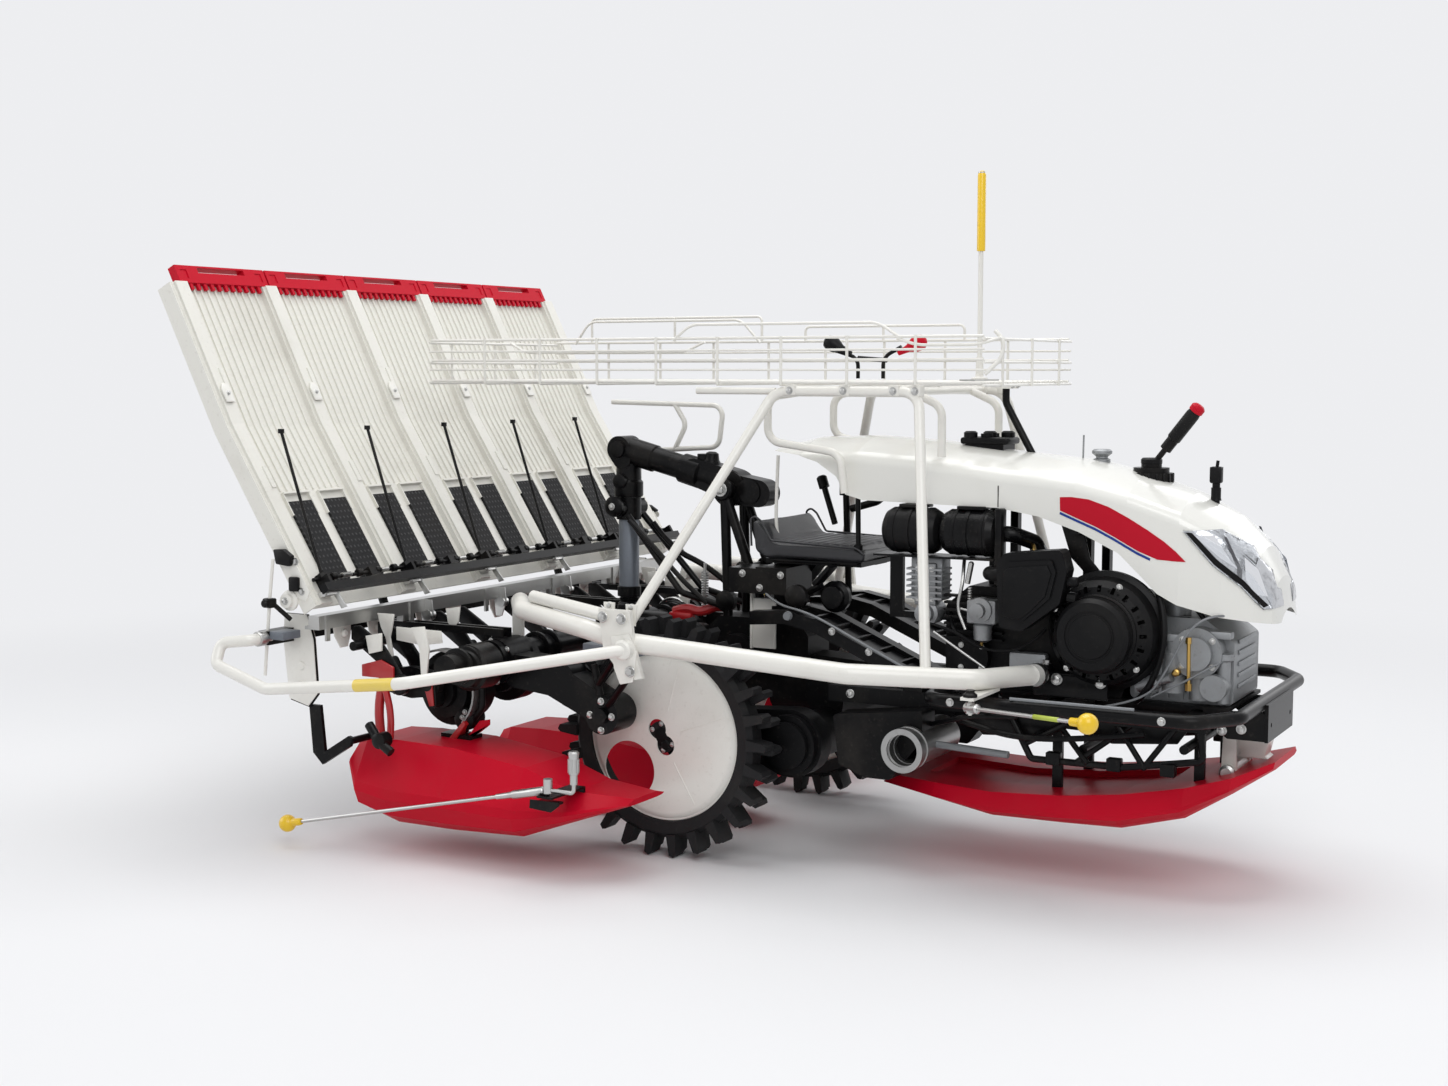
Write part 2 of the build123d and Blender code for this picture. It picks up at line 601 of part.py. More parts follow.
# --- lift: two posts, the arm over them, and the mast with its rod ------------------------------------
with BuildPart() as lift_post:
    for side, sign in SIDES:
        for foot_x in (LIFT_PIN_X + 10, 84):
            bar([at(foot_x, sign * POST_HALF, CASE_TOP), at(foot_x, sign * POST_HALF, CASE_TOP + 30),
                 at(LIFT_PIN_X, sign * POST_HALF, LIFT_PIN_Z - 10)], POST_R, bend=30)
        bar([at(-24, sign * POST_HALF, CASE_TOP + 22), at(-160, sign * 58, 614),
             at(-338, sign * 39, MAST_TOP - 48)], 9, bend=40)
        across(LIFT_PIN_X, LIFT_PIN_Z, 24, sign * (POST_HALF - 12), sign * (POST_HALF + 14))
    across(LIFT_PIN_X, LIFT_PIN_Z, LIFT_PIN_R, -POST_HALF - 20, POST_HALF + 20)
    across(30, 690, 9, -POST_HALF, POST_HALF)
save(lift_post, "lift_post")

with BuildPart() as lift_arm:
    link([(LIFT_PIN_X, LIFT_PIN_Z, 40), (56, 884, 36)], -LIFT_ARM_HALF, LIFT_ARM_HALF)
    link([(LIFT_PIN_X, LIFT_PIN_Z + 8, 42), (-140, 936, 36)], -LIFT_ARM_HALF + 2, LIFT_ARM_HALF - 2)
    bar([at(-60, 0, 914), at(-372, 0, 992)], 33)
    link([(-372, 992, 36), (-362, 966, 28)], -34, 34)
    across(LIFT_PIN_X, LIFT_PIN_Z, 48, -LIFT_ARM_HALF - 4, LIFT_ARM_HALF + 4)
    upright(at(-120, 0, 950), 20, 34)
    across(LIFT_PIN_X, LIFT_PIN_Z, LIFT_PIN_R + PIN_GAP, -40, 40, mode=Mode.SUBTRACT)
save(lift_arm, "lift_arm")

with BuildPart() as lift_cylinder:
    upright(at(MAST_X, 0, MAST_FOOT), MAST_R, MAST_TOP - MAST_FOOT - 50)
    upright(at(MAST_X, 0, MAST_TOP - 60), MAST_R + 9, 60)
    across(MAST_X - 6, MAST_TOP - 30, 22, -54, 74)
    block(at(MAST_X - 30, -32, SPINE_TOP), at(MAST_X + 44, 32, MAST_FOOT + 20))
    block(at(MAST_X - 18, 54, MAST_TOP - 30), at(MAST_X + 6, 74, MAST_TOP - 6))
    upright(at(MAST_X, 0, MAST_FOOT + 40), LIFT_ROD_R + PIN_GAP, MAST_TOP, mode=Mode.SUBTRACT)
save(lift_cylinder, "lift_cylinder")

with BuildPart() as lift_rod:
    upright(at(MAST_X, 0, MAST_FOOT + 60), LIFT_ROD_R, LIFT_ROD_TOP - MAST_FOOT - 60)
save(lift_rod, "lift_rod")

# --- white side tubes with their knuckle plates, and the guards ----------------------------------------
tube_line = [(-365, 505, 604), (-120, 585, 582), (0, KNUCKLE_Y, FRAME_TUBE_Z), (560, 550, 520),
             (830, 440, 512), (900, 232, 500)]
with BuildPart() as side_frame:
    for side, sign in SIDES:
        bar([at(PLANTING_TUBE_X, sign * 420, 612), at(-392, sign * 470, 610),
             *(at(x, sign * y, z) for x, y, z in tube_line)], FRAME_TUBE_R,
            bend=[20, 20, 60, 45, 45, 45])
        bar([at(-330, sign * 505, 640), at(-40, sign * 590, 616), at(10, sign * 600, 580)],
            FRAME_TUBE_R - 8, bend=30)
        plate(xz((-58, 640), (30, 640), (40, 560), (64, 480), (20, 470), (-44, 540)),
              sign * (KNUCKLE_Y + FRAME_TUBE_R - 10), sign * (KNUCKLE_Y + FRAME_TUBE_R + 2))
        for x, z in ((-40, 622), (12, 620), (36, 496)):
            across(x, z, 9, sign * (KNUCKLE_Y + FRAME_TUBE_R), sign * (KNUCKLE_Y + FRAME_TUBE_R + 10))
        block(at(PLANTING_TUBE_X - 14, sign * 422, 500), at(PLANTING_TUBE_X + 14, sign * 436, 612))
        block(at(832, sign * 372, 480), at(864, sign * 534, 487))
        upright(at(850, sign * 520, 446), MARKER_PIN_R, 36)
save(side_frame, "side_frame")

guard_out = GUARD_Y - SECTION_HALF
with BuildPart() as guards:
    for side, sign in SIDES:
        bar([at(BEAM_X, sign * SECTION_HALF, BEAM_Z),
             at(BEAM_X, sign * (SECTION_HALF + guard_out * 0.47), BEAM_Z),
             at(BEAM_X - 75, sign * (SECTION_HALF + guard_out * 0.74), BEAM_Z - 8),
             at(BEAM_X - 70, sign * GUARD_Y, 490), at(-770, sign * GUARD_Y, 442),
             at(-360, sign * GUARD_Y, 488), at(26, sign * (KNUCKLE_Y + 40), 548)], GUARD_R,
            bend=[22, 22, 22, 60, 60])
save(guards, "guards")

# --- planting section -----------------------------------------------------------------------------
with BuildPart() as planting_frame:
    block(at(BEAM_X - BEAM_R, -SECTION_HALF, BEAM_Z - BEAM_R),
          at(BEAM_X + BEAM_R, SECTION_HALF, BEAM_Z + BEAM_R))
    across(PLANTING_TUBE_X, PLANTING_TUBE_Z, PLANTING_TUBE_R, -740, 740)
    for case_row in CASE_ROWS:
        y = case_row * ROW_PITCH
        low, high = y - DRIVE_WIDTH / 2, y + DRIVE_WIDTH / 2
        link([(PLANTING_AXLE_X, PLANTING_AXLE_Z, 46), (PLANTING_TUBE_X, PLANTING_TUBE_Z - 8, 58)],
             low, high)
        link([(PLANTING_AXLE_X, PLANTING_AXLE_Z, 34), (PLANTING_AXLE_X, PLANTING_AXLE_Z, 33)],
             low - 9, high + 9)
        across(PLANTING_TUBE_X, PLANTING_TUBE_Z, PLANTING_TUBE_R + 14, low - 22, low + 2)
        across(PLANTING_TUBE_X, PLANTING_TUBE_Z, PLANTING_TUBE_R + 14, high - 2, high + 22)
        for shift in (-22, 10):
            block(at(BEAM_X, y + shift, BEAM_Z - 14), at(PLANTING_TUBE_X, y + shift + 12, BEAM_Z + 4))
            block(at(PLANTING_TUBE_X - 20, y + shift, PLANTING_TUBE_Z),
                  at(PLANTING_TUBE_X + 10, y + shift + 12, BEAM_Z + 4))
    for side, sign in SIDES:
        inner, outer = sign * 1.5 * ROW_PITCH - sign * 34, sign * 1.5 * ROW_PITCH + sign * 34
        link([(PLANTING_TUBE_X + 60, PLANTING_TUBE_Z - 30, 42), (-240, 440, 46)], inner, outer)
        link([(-260, 440, 44), (-100, 364, 38)], inner, outer)
        across(-100, 364, 47, inner, outer + sign * 22)
        across(-100, 364, 20, outer, outer + sign * 34)
        bar([at(-100, outer + sign * 8, 364), at(-128, outer + sign * 8, 488)], 9)
        bar([at(-116, outer + sign * 8, 440), at(-24, sign * (KNUCKLE_Y + 4), 520)], 9)
        bar([at(-100, outer + sign * 8, 372), at(30, sign * (KNUCKLE_Y + 4), 500)], 9)
    block(at(PLANTING_TUBE_X, -58, 440), at(-86, 58, SPINE_TOP))
    across(PLANTING_AXLE_X, PLANTING_AXLE_Z, PLANTING_SHAFT_R + PIN_GAP, -760, 760, mode=Mode.SUBTRACT)
    for side, sign in SIDES:
        bar([at(BEAM_X - 4, sign * 420, BEAM_Z), at(-1040, sign * 420, 1010)], 12)
        plate(xz((BEAM_X - 14, 600), (BEAM_X - 20, BEAM_Z - 20), (-860, 380), (-800, 366),
                 (-770, 400), (-780, BEAM_Z - 10), (-800, 600)), sign * END_PLATE_Y,
              sign * (END_PLATE_Y + END_PLATE_WALL))
    across(-1040, 1010, 10, -600, 600)
save(planting_frame, "planting_frame")

with BuildPart() as planting_rotors:
    across(PLANTING_AXLE_X, PLANTING_AXLE_Z, PLANTING_SHAFT_R, -ROW_PITCH * 2 - 20, ROW_PITCH * 2 + 20)
    for y in rows():
        low, high = y - ROTOR_WIDTH / 2, y + ROTOR_WIDTH / 2
        half_span = ROTOR_SPAN / 2
        link([(PLANTING_AXLE_X - half_span, PLANTING_AXLE_Z, ROTOR_END_R - 8),
              (PLANTING_AXLE_X, PLANTING_AXLE_Z, ROTOR_END_R),
              (PLANTING_AXLE_X + half_span, PLANTING_AXLE_Z, ROTOR_END_R - 8)], low + 6, high - 6)
        for end in (-1, 1):
            x = PLANTING_AXLE_X + end * half_span
            link([(x, PLANTING_AXLE_Z, 24), (x + end * 14, PLANTING_AXLE_Z - end * CLAW_REACH, 13)],
                 low, high)
            across(x, PLANTING_AXLE_Z, 17, low - 5, high + 5)
save(planting_rotors, "planting_rotors")

# --- tray -------------------------------------------------------------------------------------
tray_half = ROWS * ROW_PITCH / 2 + LANE_RAIL_WIDTH / 2
bed_turns = [atan2(b[1] - a[1], b[0] - a[0]) - pi / 2
             for a, b in ((TRAY_FOOT, TRAY_MID), (TRAY_MID, TRAY_HEAD))]
bed_lengths = [hypot(b[0] - a[0], b[1] - a[1])
               for a, b in ((TRAY_FOOT, TRAY_MID), (TRAY_MID, TRAY_HEAD))]


def tray_outline(front, thickness, start=0.0, end=0.0):
    """Outline of a skin that follows the tray, so far in front of its face."""
    turns = [bed_turns[0], (bed_turns[0] + bed_turns[1]) / 2, bed_turns[1]]
    foot = (TRAY_FOOT[0] - sin(turns[0]) * start, TRAY_FOOT[1] + cos(turns[0]) * start)
    head = (TRAY_HEAD[0] + sin(turns[2]) * end, TRAY_HEAD[1] - cos(turns[2]) * end)
    points = [foot, TRAY_MID, head]
    face = [(AXLE_X + x + front * cos(a), z + front * sin(a)) for (x, z), a in zip(points, turns)]
    back = [(x - thickness * cos(a), z - thickness * sin(a)) for (x, z), a in zip(face, turns)]
    return face + back[::-1]


def bed_plane(bed, along, front, y):
    """Plane on the lower or upper bed, so far up from its foot and in front of its face."""
    x, z = (TRAY_FOOT, TRAY_MID)[bed]
    turn = bed_turns[bed]
    origin = (AXLE_X + x - sin(turn) * along + cos(turn) * front, y,
              z + cos(turn) * along + sin(turn) * front)
    return Plane(origin=origin, x_dir=(0, 1, 0), z_dir=(cos(turn), 0, sin(turn)))


def bed_block(bed, along, front, y, size, mode=Mode.ADD):
    """Add a box of width, length up the bed and thickness standing on a bed's plane."""
    with BuildSketch(bed_plane(bed, along + size[1] / 2, front, y)) as foot:
        Rectangle(size[0], size[1])
    extrude(foot.sketch, amount=size[2], mode=mode)


rib_step = (ROW_PITCH - LANE_RAIL_WIDTH) / (RIB_COUNT + 1)
with BuildPart() as rib:
    plate(tray_outline(RIB_HEIGHT, RIB_HEIGHT + 1, BELT_START + BELT_LENGTH + 34, 8),
          -RIB_WIDTH / 2, RIB_WIDTH / 2)
with BuildPart() as tray_panel:
    plate(tray_outline(0, TRAY_PLATE), -tray_half, tray_half)
    add([rib.part.moved(Location((0, y + (index - (RIB_COUNT - 1) / 2) * rib_step, 0)))
         for y in rows() for index in range(RIB_COUNT)])
    for y in rows():
        for shift in (-1, 1):
            width = BELT_WIDTH + 12
            for edge in (-width / 2, width / 2 - 4):
                bed_block(0, BELT_START + BELT_LENGTH - 40, -1, y + shift * BELT_SPACING / 2 + edge + 2,
                          (4, 66, 10))
            bed_block(0, BELT_START + BELT_LENGTH + 22, -1, y + shift * BELT_SPACING / 2,
                      (width, 5, 13))
save(tray_panel, "tray_panel")

with BuildPart() as tray_rails:
    for index in range(ROWS + 1):
        y = (index - ROWS / 2) * ROW_PITCH
        step = LANE_RAIL_HEIGHT - 7
        plate(tray_outline(step, step), y - LANE_RAIL_WIDTH / 2, y + LANE_RAIL_WIDTH / 2)
        plate(tray_outline(LANE_RAIL_HEIGHT, 9), y - LANE_RAIL_WIDTH / 2 + 8,
              y + LANE_RAIL_WIDTH / 2 - 8)
        for bed, along in ((0, 330), (1, 96)):
            bed_block(bed, along, LANE_RAIL_HEIGHT - 1, y + 14, (15, 62, 4))
    for side, sign in SIDES:
        plate(tray_outline(LANE_RAIL_HEIGHT - 8, 46), sign * tray_half, sign * (tray_half + 5))
save(tray_rails, "tray_rails")

handle_width = ROW_PITCH - 6
with BuildPart() as tray_handles:
    for y in rows():
        top = bed_lengths[1]
        bed_block(1, top, -HANDLE_DEPTH / 2 + 4, y, (handle_width, HANDLE_HEIGHT, HANDLE_DEPTH))
        bed_block(1, top + HANDLE_HEIGHT - 20, -HANDLE_DEPTH, y, (*HANDLE_SLOT, 3 * HANDLE_DEPTH),
                  mode=Mode.SUBTRACT)
        for edge in (-1, 1):
            bed_block(1, top + 12, HANDLE_DEPTH / 2 + 2, y + edge * (handle_width / 2 - 26),
                      (22, 26, 6), mode=Mode.SUBTRACT)
        for index in range(COMB_COUNT):
            tooth_y = y + (index - (COMB_COUNT - 1) / 2) * rib_step
            bed_block(1, top - 18, RIB_HEIGHT + 1, tooth_y, (10, 24, 8))
save(tray_handles, "tray_handles")

with BuildPart() as feed_belts:
    for y in rows():
        for shift in (-1, 1):
            bed_block(0, BELT_START, 0, y + shift * BELT_SPACING / 2,
                      (BELT_WIDTH, BELT_LENGTH, BELT_THICKNESS))
save(feed_belts, "feed_belts")

bar_along, shaft_along, shaft_front = 16, 60, 34
with BuildPart() as press_bar:
    for index in range(ROWS + 1):
        y = (index - ROWS / 2) * ROW_PITCH
        bed_block(0, bar_along, LANE_RAIL_HEIGHT, y, (10, 44, PRESS_BAR_OUT - LANE_RAIL_HEIGHT))
    bed_block(0, bar_along - 2, PRESS_BAR_OUT - 20, 0, (2 * tray_half, 22, 22))
    low = bed_plane(0, shaft_along, shaft_front, 0).origin
    across(low.X - AXLE_X, low.Z, PRESS_ROD_R + 1, -tray_half + 4, tray_half - 4)
    for y in rows():
        rod_y = y - ROW_PITCH / 2 + LANE_RAIL_WIDTH / 2 - 20
        foot = bed_plane(0, shaft_along + 6, shaft_front + 2, rod_y).origin
        head = bed_plane(0, 433, 125, rod_y).origin
        bar([tuple(foot), tuple(head)], PRESS_ROD_R)
        with Locations(tuple(head)):
            Box(11, 11, 11)
        bed_block(0, shaft_along - 12, shaft_front - 10, rod_y, (26, 24, 20))
        bed_block(0, shaft_along - 12, shaft_front - 10, rod_y + 190, (34, 24, 20))
save(press_bar, "press_bar")

# --- tray's slide rail, under its foot ------------------------------------------------------------
with BuildPart() as guide_rail:
    block(at(-760, -tray_half, 576), at(-726, tray_half, 604))
    block(at(-772, -tray_half, 570), at(-726, tray_half, 578))
    for case_row in CASE_ROWS:
        y = case_row * ROW_PITCH
        block(at(-756, y - 22, BEAM_Z + 4), at(-736, y + 22, 574))
    for index in range(ROWS + 1):
        y = (index - ROWS / 2) * ROW_PITCH
        block(at(-728, y - 7, 540), at(-722, y + 7, 602))
save(guide_rail, "guide_rail")

# --- floats: lofted shells with a keel, skirts and an upturned nose ---------------------------------
FLOAT_DEPTH = [(-738, 120, 190, 118), (-700, 26, 204, 146), (-600, 0, 208, 150), (-430, 0, 204, 150),
               (-220, 8, 176, 148), (-80, 58, 132, 132), (70, 110, 124, 84)]
FRONT_DEPTH = [(500, 190, 214, 200), (640, 172, 212, 238), (785, 146, 206, 245),
               (960, 148, 216, 245), (1100, 152, 234, 245), (1245, 190, 262, 232),
               (1345, 252, 290, 200), (1425, 304, 322, 120)]


def float_shell(stations, middle, rise, keel, hump):
    """Loft a float from sections given as x, sole, top and half width."""
    sections = []
    for x, sole, top, half in stations:
        deep = top - sole
        with BuildSketch(Plane(origin=at(x, middle, rise), x_dir=(0, 1, 0), z_dir=(1, 0, 0))) as section:
            with BuildLine():
                Polyline((-half * keel, sole), (-half * 0.9, sole + deep * 0.12),
                         (-half, sole + deep * 0.32), (-half * 0.97, sole + deep * 0.44),
                         (-half * hump, top), (half * hump, top), (half * 0.97, sole + deep * 0.44),
                         (half, sole + deep * 0.32), (half * 0.9, sole + deep * 0.12),
                         (half * keel, sole), close=True)
            make_face()
        sections.append(section.sketch.faces()[0])
    loft(sections, ruled=True)


with BuildPart() as rear_floats:
    for y, rise in ((-SIDE_FLOAT_Y, SIDE_FLOAT_RISE), (0, 0), (SIDE_FLOAT_Y, SIDE_FLOAT_RISE)):
        float_shell(FLOAT_DEPTH, y, FLOAT_SOLE + rise, 0.62, 0.6)
save(rear_floats, "rear_floats")

well_half = 96
with BuildPart() as chambers:
    float_shell([(x, sole + FLOAT_WALL, top - FLOAT_WALL, half - FLOAT_WALL)
                 for x, sole, top, half in FRONT_DEPTH[1:-2]], 0, 0, 0.8, 0.88)
    block(at(500, -well_half - FLOAT_WALL, 0), at(HOOD_NOSE, well_half + FLOAT_WALL, 400),
          mode=Mode.SUBTRACT)
with BuildPart() as front_float:
    float_shell(FRONT_DEPTH, 0, 0, 0.8, 0.88)
    add(chambers.part, mode=Mode.SUBTRACT)
    plate(xz((560, 400), (580, 202), (785, 192), (960, 200), (1100, 218), (1180, 236), (1200, 400)),
          -well_half, well_half, mode=Mode.SUBTRACT)
save(front_float, "front_float")

# --- seedling rack ------------------------------------------------------------------------------
weld = RACK_WIRE_R * 1.6          # crossing wires lie on each other, a little sunk
rack_frame_z = RACK_Z - weld - RACK_WIRE_R - RACK_TUBE_R
with BuildPart() as rack_frame:
    for side, sign in SIDES:
        bar([at(-8, sign * (KNUCKLE_Y - 6), 578), at(240, sign * 285, rack_frame_z),
             at(620, sign * 285, rack_frame_z), at(725, sign * 478, 528)], RACK_TUBE_R, bend=50)
        bar([at(20, sign * 285, rack_frame_z), at(240, sign * 285, rack_frame_z)], RACK_TUBE_R - 4)
        loop_y = sign * (HOOD_HALF + LOOP_R + 2)
        bar([at(286, loop_y, rack_frame_z), at(170, loop_y, 1140), at(170, loop_y, 1030),
             at(370, loop_y, 1004), at(384, loop_y, 905)], LOOP_R, bend=[40, 40, 40])
        bar([at(560, loop_y, rack_frame_z), at(640, loop_y, 1120), at(640, loop_y, 1000)],
            LOOP_R, bend=40)
    block(at(700, -28, RACK_Z - RACK_WIRE_R - 12), at(752, 28, RACK_Z - RACK_WIRE_R + 0.6))
    hand_y = 64
    bar([at(-366, hand_y, MAST_TOP - 6), at(-366, hand_y, 984), at(-112, hand_y, 1000),
         at(-98, hand_y, 1112), at(-452, hand_y, 1119)], LOOP_R - 3, bend=[20, 30, 30])
    bar([at(-250, hand_y, 992), at(-214, hand_y, 1060), at(-250, hand_y, 1114)], LOOP_R - 3, bend=30)
    for x in (286, 430, 560):
        across(x, rack_frame_z, RACK_TUBE_R - 3, -285, 285)
save(rack_frame, "rack_frame")

rack_inner = RACK_HALF - RACK_WIRE_R - SPLIT
first_x, last_x = RACK_REAR + RACK_WIRE_R + SPLIT, RACK_FRONT - RACK_WIRE_R - SPLIT
rim_z = RACK_Z + RACK_DEEP
with BuildPart() as seedling_rack:
    for z in (RACK_Z, RACK_Z + RACK_DEEP * 0.5, rim_z):
        for side, sign in SIDES:
            bar([at(first_x, sign * RACK_HALF, z), at(last_x, sign * RACK_HALF, z)], RACK_WIRE_R)
        for x in (RACK_REAR, RACK_FRONT):
            across(x, z - weld, RACK_WIRE_R, -RACK_HALF - 6, RACK_HALF + 6)
    for y in (-225, -150, -75, 0, 75, 150, 225):
        bar([at(first_x, y, RACK_Z), at(last_x, y, RACK_Z)], RACK_WIRE_R - 0.6)
    for x in (RACK_REAR - weld, RACK_FRONT + weld):
        for y in (-200, 0, 200):
            upright(at(x, y, RACK_Z - weld - 4), RACK_WIRE_R - 0.4, RACK_DEEP + 8)
    for index in range(1, 9):
        x = RACK_REAR + index * (RACK_FRONT - RACK_REAR) / 9
        across(x, RACK_Z - weld, RACK_WIRE_R, -rack_inner, rack_inner)
        for side, sign in SIDES:
            upright(at(x + weld, sign * (RACK_HALF + weld), RACK_Z - weld), RACK_WIRE_R, RACK_DEEP + 9)
    for rear, front, rise in ((-671, -106, 70), (30, 500, 40)):
        bar([at(rear, RACK_HALF, rim_z), at(rear, RACK_HALF, rim_z + rise),
             at(front, RACK_HALF, rim_z + rise), at(front, RACK_HALF, rim_z)], RACK_WIRE_R, bend=14)
        bar([at((rear + front) / 2, RACK_HALF, rim_z), at((rear + front) / 2, RACK_HALF, rim_z + rise)],
            RACK_WIRE_R)
save(seedling_rack, "seedling_rack")

with BuildPart() as centre_mast:
    foot_z = RACK_Z + RACK_WIRE_R - 0.6
    block(at(MAST_ROD_X - 20, -82, foot_z), at(MAST_ROD_X + 20, 82, foot_z + 4))
    upright(at(MAST_ROD_X, 0, RACK_Z + RACK_WIRE_R + 2), 5, MAST_ROD_TOP - RACK_Z - 30)
    upright(at(MAST_ROD_X, 0, MAST_ROD_TOP - SLEEVE_LENGTH), 9, SLEEVE_LENGTH)
save(centre_mast, "centre_mast")

# --- markers: rods on upright pins, with a ball at the end ----------------------------------------------
line_pivot_z, line_ball_z = 233.0, 60.0
for side, sign in SIDES:
    with BuildPart() as line_marker:
        fall = (line_pivot_z - line_ball_z) / LINE_MARKER_LENGTH
        y = sign * LINE_MARKER_Y
        bar([at(-88, y, line_pivot_z - 8 * fall),
             at(-80 - LINE_MARKER_LENGTH + 8, y, line_ball_z + 8 * fall)], MARKER_ROD_R)
        with Locations(Location(at(-80 - LINE_MARKER_LENGTH, y, line_ball_z), (0, 0, 120))):
            Sphere(BALL_R)
        upright(at(-80, y, line_pivot_z - 7), 11, 34)
        upright(at(-80, y, line_pivot_z - 8), MARKER_PIN_R + PIN_GAP, 32, mode=Mode.SUBTRACT)
        bar([at(-72, y, line_pivot_z), at(-8, y, line_pivot_z), at(-8, y, line_pivot_z + 24)], 5, bend=10)
        upright(at(-8, y, line_pivot_z + 21), 9, 69)
    save(line_marker, f"line_marker_{side}")

side_rest = {"right": (491.0, 31.0), "left": (462.0, 39.8)}
side_pivot_x, side_pivot_y, side_pivot_z = 850.0, 520.0, 462.0
for side, sign in SIDES:
    with BuildPart() as side_marker:
        ball_z, turn = side_rest[side]
        ahead, out, rise = cos(radians(turn)), sin(radians(turn)), ball_z - side_pivot_z
        near, far = 8 / SIDE_MARKER_REACH, 1 - 8 / SIDE_MARKER_REACH
        ends = [at(side_pivot_x + SIDE_MARKER_REACH * ahead * part,
                   sign * (side_pivot_y + SIDE_MARKER_REACH * out * part),
                   side_pivot_z + rise * part) for part in (near, far, 1)]
        bar(ends[:2], MARKER_ROD_R)
        with Locations(Location(ends[2], (0, 0, 100))):
            Sphere(BALL_R)
        pivot = at(side_pivot_x, sign * side_pivot_y, side_pivot_z - 12)
        upright(pivot, 10, 24)
        upright(pivot, MARKER_PIN_R + PIN_GAP, 24, mode=Mode.SUBTRACT)
    save(side_marker, f"side_marker_{side}")

# --- float links ------------------------------------------------------------------------------------------
side_top = [(x, top + SIDE_FLOAT_RISE) for x, _, top, _ in FLOAT_DEPTH]
mid_top = [(x, top) for x, _, top, _ in FLOAT_DEPTH]
front_top = [(x, top) for x, _, top, _ in FRONT_DEPTH]
marker_foot = line_pivot_z - 17
with BuildPart() as float_links:
    for y, skin in ((-SIDE_FLOAT_Y + 30, side_top), (80, mid_top), (SIDE_FLOAT_Y - 30, side_top)):
        low, high = skin_height(skin, -540), skin_height(skin, -450)
        bar([at(PLANTING_TUBE_X, y, PLANTING_TUBE_Z - 28), at(PLANTING_TUBE_X, y, 360),
             at(-500, y, skin_height(skin, -500) + 4)], 9, bend=30)
        plate(xz((-540, low), (-450, high), (-450, high + 10), (-540, low + 10)), y - 26, y + 26)
    for x in (906, 1246):
        for side, sign in SIDES:
            plate(xz((x, skin_height(front_top, x)), (x + 24, skin_height(front_top, x + 24)),
                     (x + 24, 398), (x, 398)), sign * 112, sign * 124)
    for side, sign in SIDES:
        bar([at(830, sign * 215, 399), at(890, sign * 230, 300), at(1110, sign * 235, 302),
             at(1290, sign * 215, 330), at(1284, sign * 215, 399)], 8, bend=14)
        bar([at(1090, sign * 215, 399), at(1160, sign * 232, 306), at(1225, sign * 215, 399)], 7)
        block(at(-100, sign * 690, marker_foot), at(-56, sign * (LINE_MARKER_Y + 18), marker_foot + 5))
        plate(xz((-100, skin_height(side_top, -100)), (-56, skin_height(side_top, -56)),
                 (-56, marker_foot + 1), (-100, marker_foot + 1)), sign * 690, sign * 698)
        upright(at(-80, sign * LINE_MARKER_Y, marker_foot + 3), MARKER_PIN_R, 36)
        plate(xz((-806, 372), (-796, 250), (-766, 222), (-676, 276), (-668, 298), (-682, 302),
                 (-758, 256), (-770, 372)), sign * (END_PLATE_Y - 10), sign * END_PLATE_Y)
        across(-676, skin_height(side_top, -676) + 9, 9, sign * 690, sign * (END_PLATE_Y - 2))
save(float_links, "float_links")
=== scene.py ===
"""Looks of a five-row walking rice transplanter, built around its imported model.

The file is laid out as an add-on: properties hold the sizes and colours a user would change,
each operator makes one group of pieces, and main() calls them in order.
+X forward, +Y to the machine's left, +Z up, floor at Z 0. Fittings are given in millimetres, with X
from the wheel axle, and at() and the functions that make pieces turn them into the frame's metres.
"""

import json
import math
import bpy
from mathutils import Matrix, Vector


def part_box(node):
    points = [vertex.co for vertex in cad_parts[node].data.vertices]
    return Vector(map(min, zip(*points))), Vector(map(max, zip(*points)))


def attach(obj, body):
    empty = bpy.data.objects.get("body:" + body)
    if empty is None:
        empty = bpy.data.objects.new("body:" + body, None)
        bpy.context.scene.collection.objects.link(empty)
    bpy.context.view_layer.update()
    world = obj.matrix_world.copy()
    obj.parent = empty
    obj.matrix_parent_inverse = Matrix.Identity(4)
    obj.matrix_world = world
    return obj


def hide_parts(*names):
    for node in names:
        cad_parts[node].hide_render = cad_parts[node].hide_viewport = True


bl_info = {
    "name": "Rice Transplanter Looks",
    "version": (1, 0, 0),
    "blender": (4, 5, 0),
    "location": "View3D > Sidebar > Transplanter",
    "description": "Finishes, padded seat and small fittings for a walking rice transplanter",
    "category": "Object",
}

import bpy
from bpy.props import FloatProperty, FloatVectorProperty, PointerProperty
from mathutils import Matrix, Vector

MM = 0.001
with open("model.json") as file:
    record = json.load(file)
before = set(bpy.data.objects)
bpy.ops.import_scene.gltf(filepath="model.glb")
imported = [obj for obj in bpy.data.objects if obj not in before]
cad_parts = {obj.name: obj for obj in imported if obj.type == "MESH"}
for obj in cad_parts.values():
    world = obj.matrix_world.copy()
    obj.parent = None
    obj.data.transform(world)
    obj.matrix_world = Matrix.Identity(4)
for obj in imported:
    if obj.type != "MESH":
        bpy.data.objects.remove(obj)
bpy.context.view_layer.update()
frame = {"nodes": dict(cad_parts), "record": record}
CAD_NODES = frame["nodes"]


def middle(node):
    """Middle of a CAD node's box."""
    low, high = (Vector(corner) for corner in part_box(node))
    return (low + high) / 2


AXLE = middle("tyre_right")
AXLE_X = AXLE.x


def at(x, y, z):
    """A place in the frame, from millimetres along the machine from the axle, across and up."""
    return Vector((AXLE_X + x * MM, y * MM, z * MM))


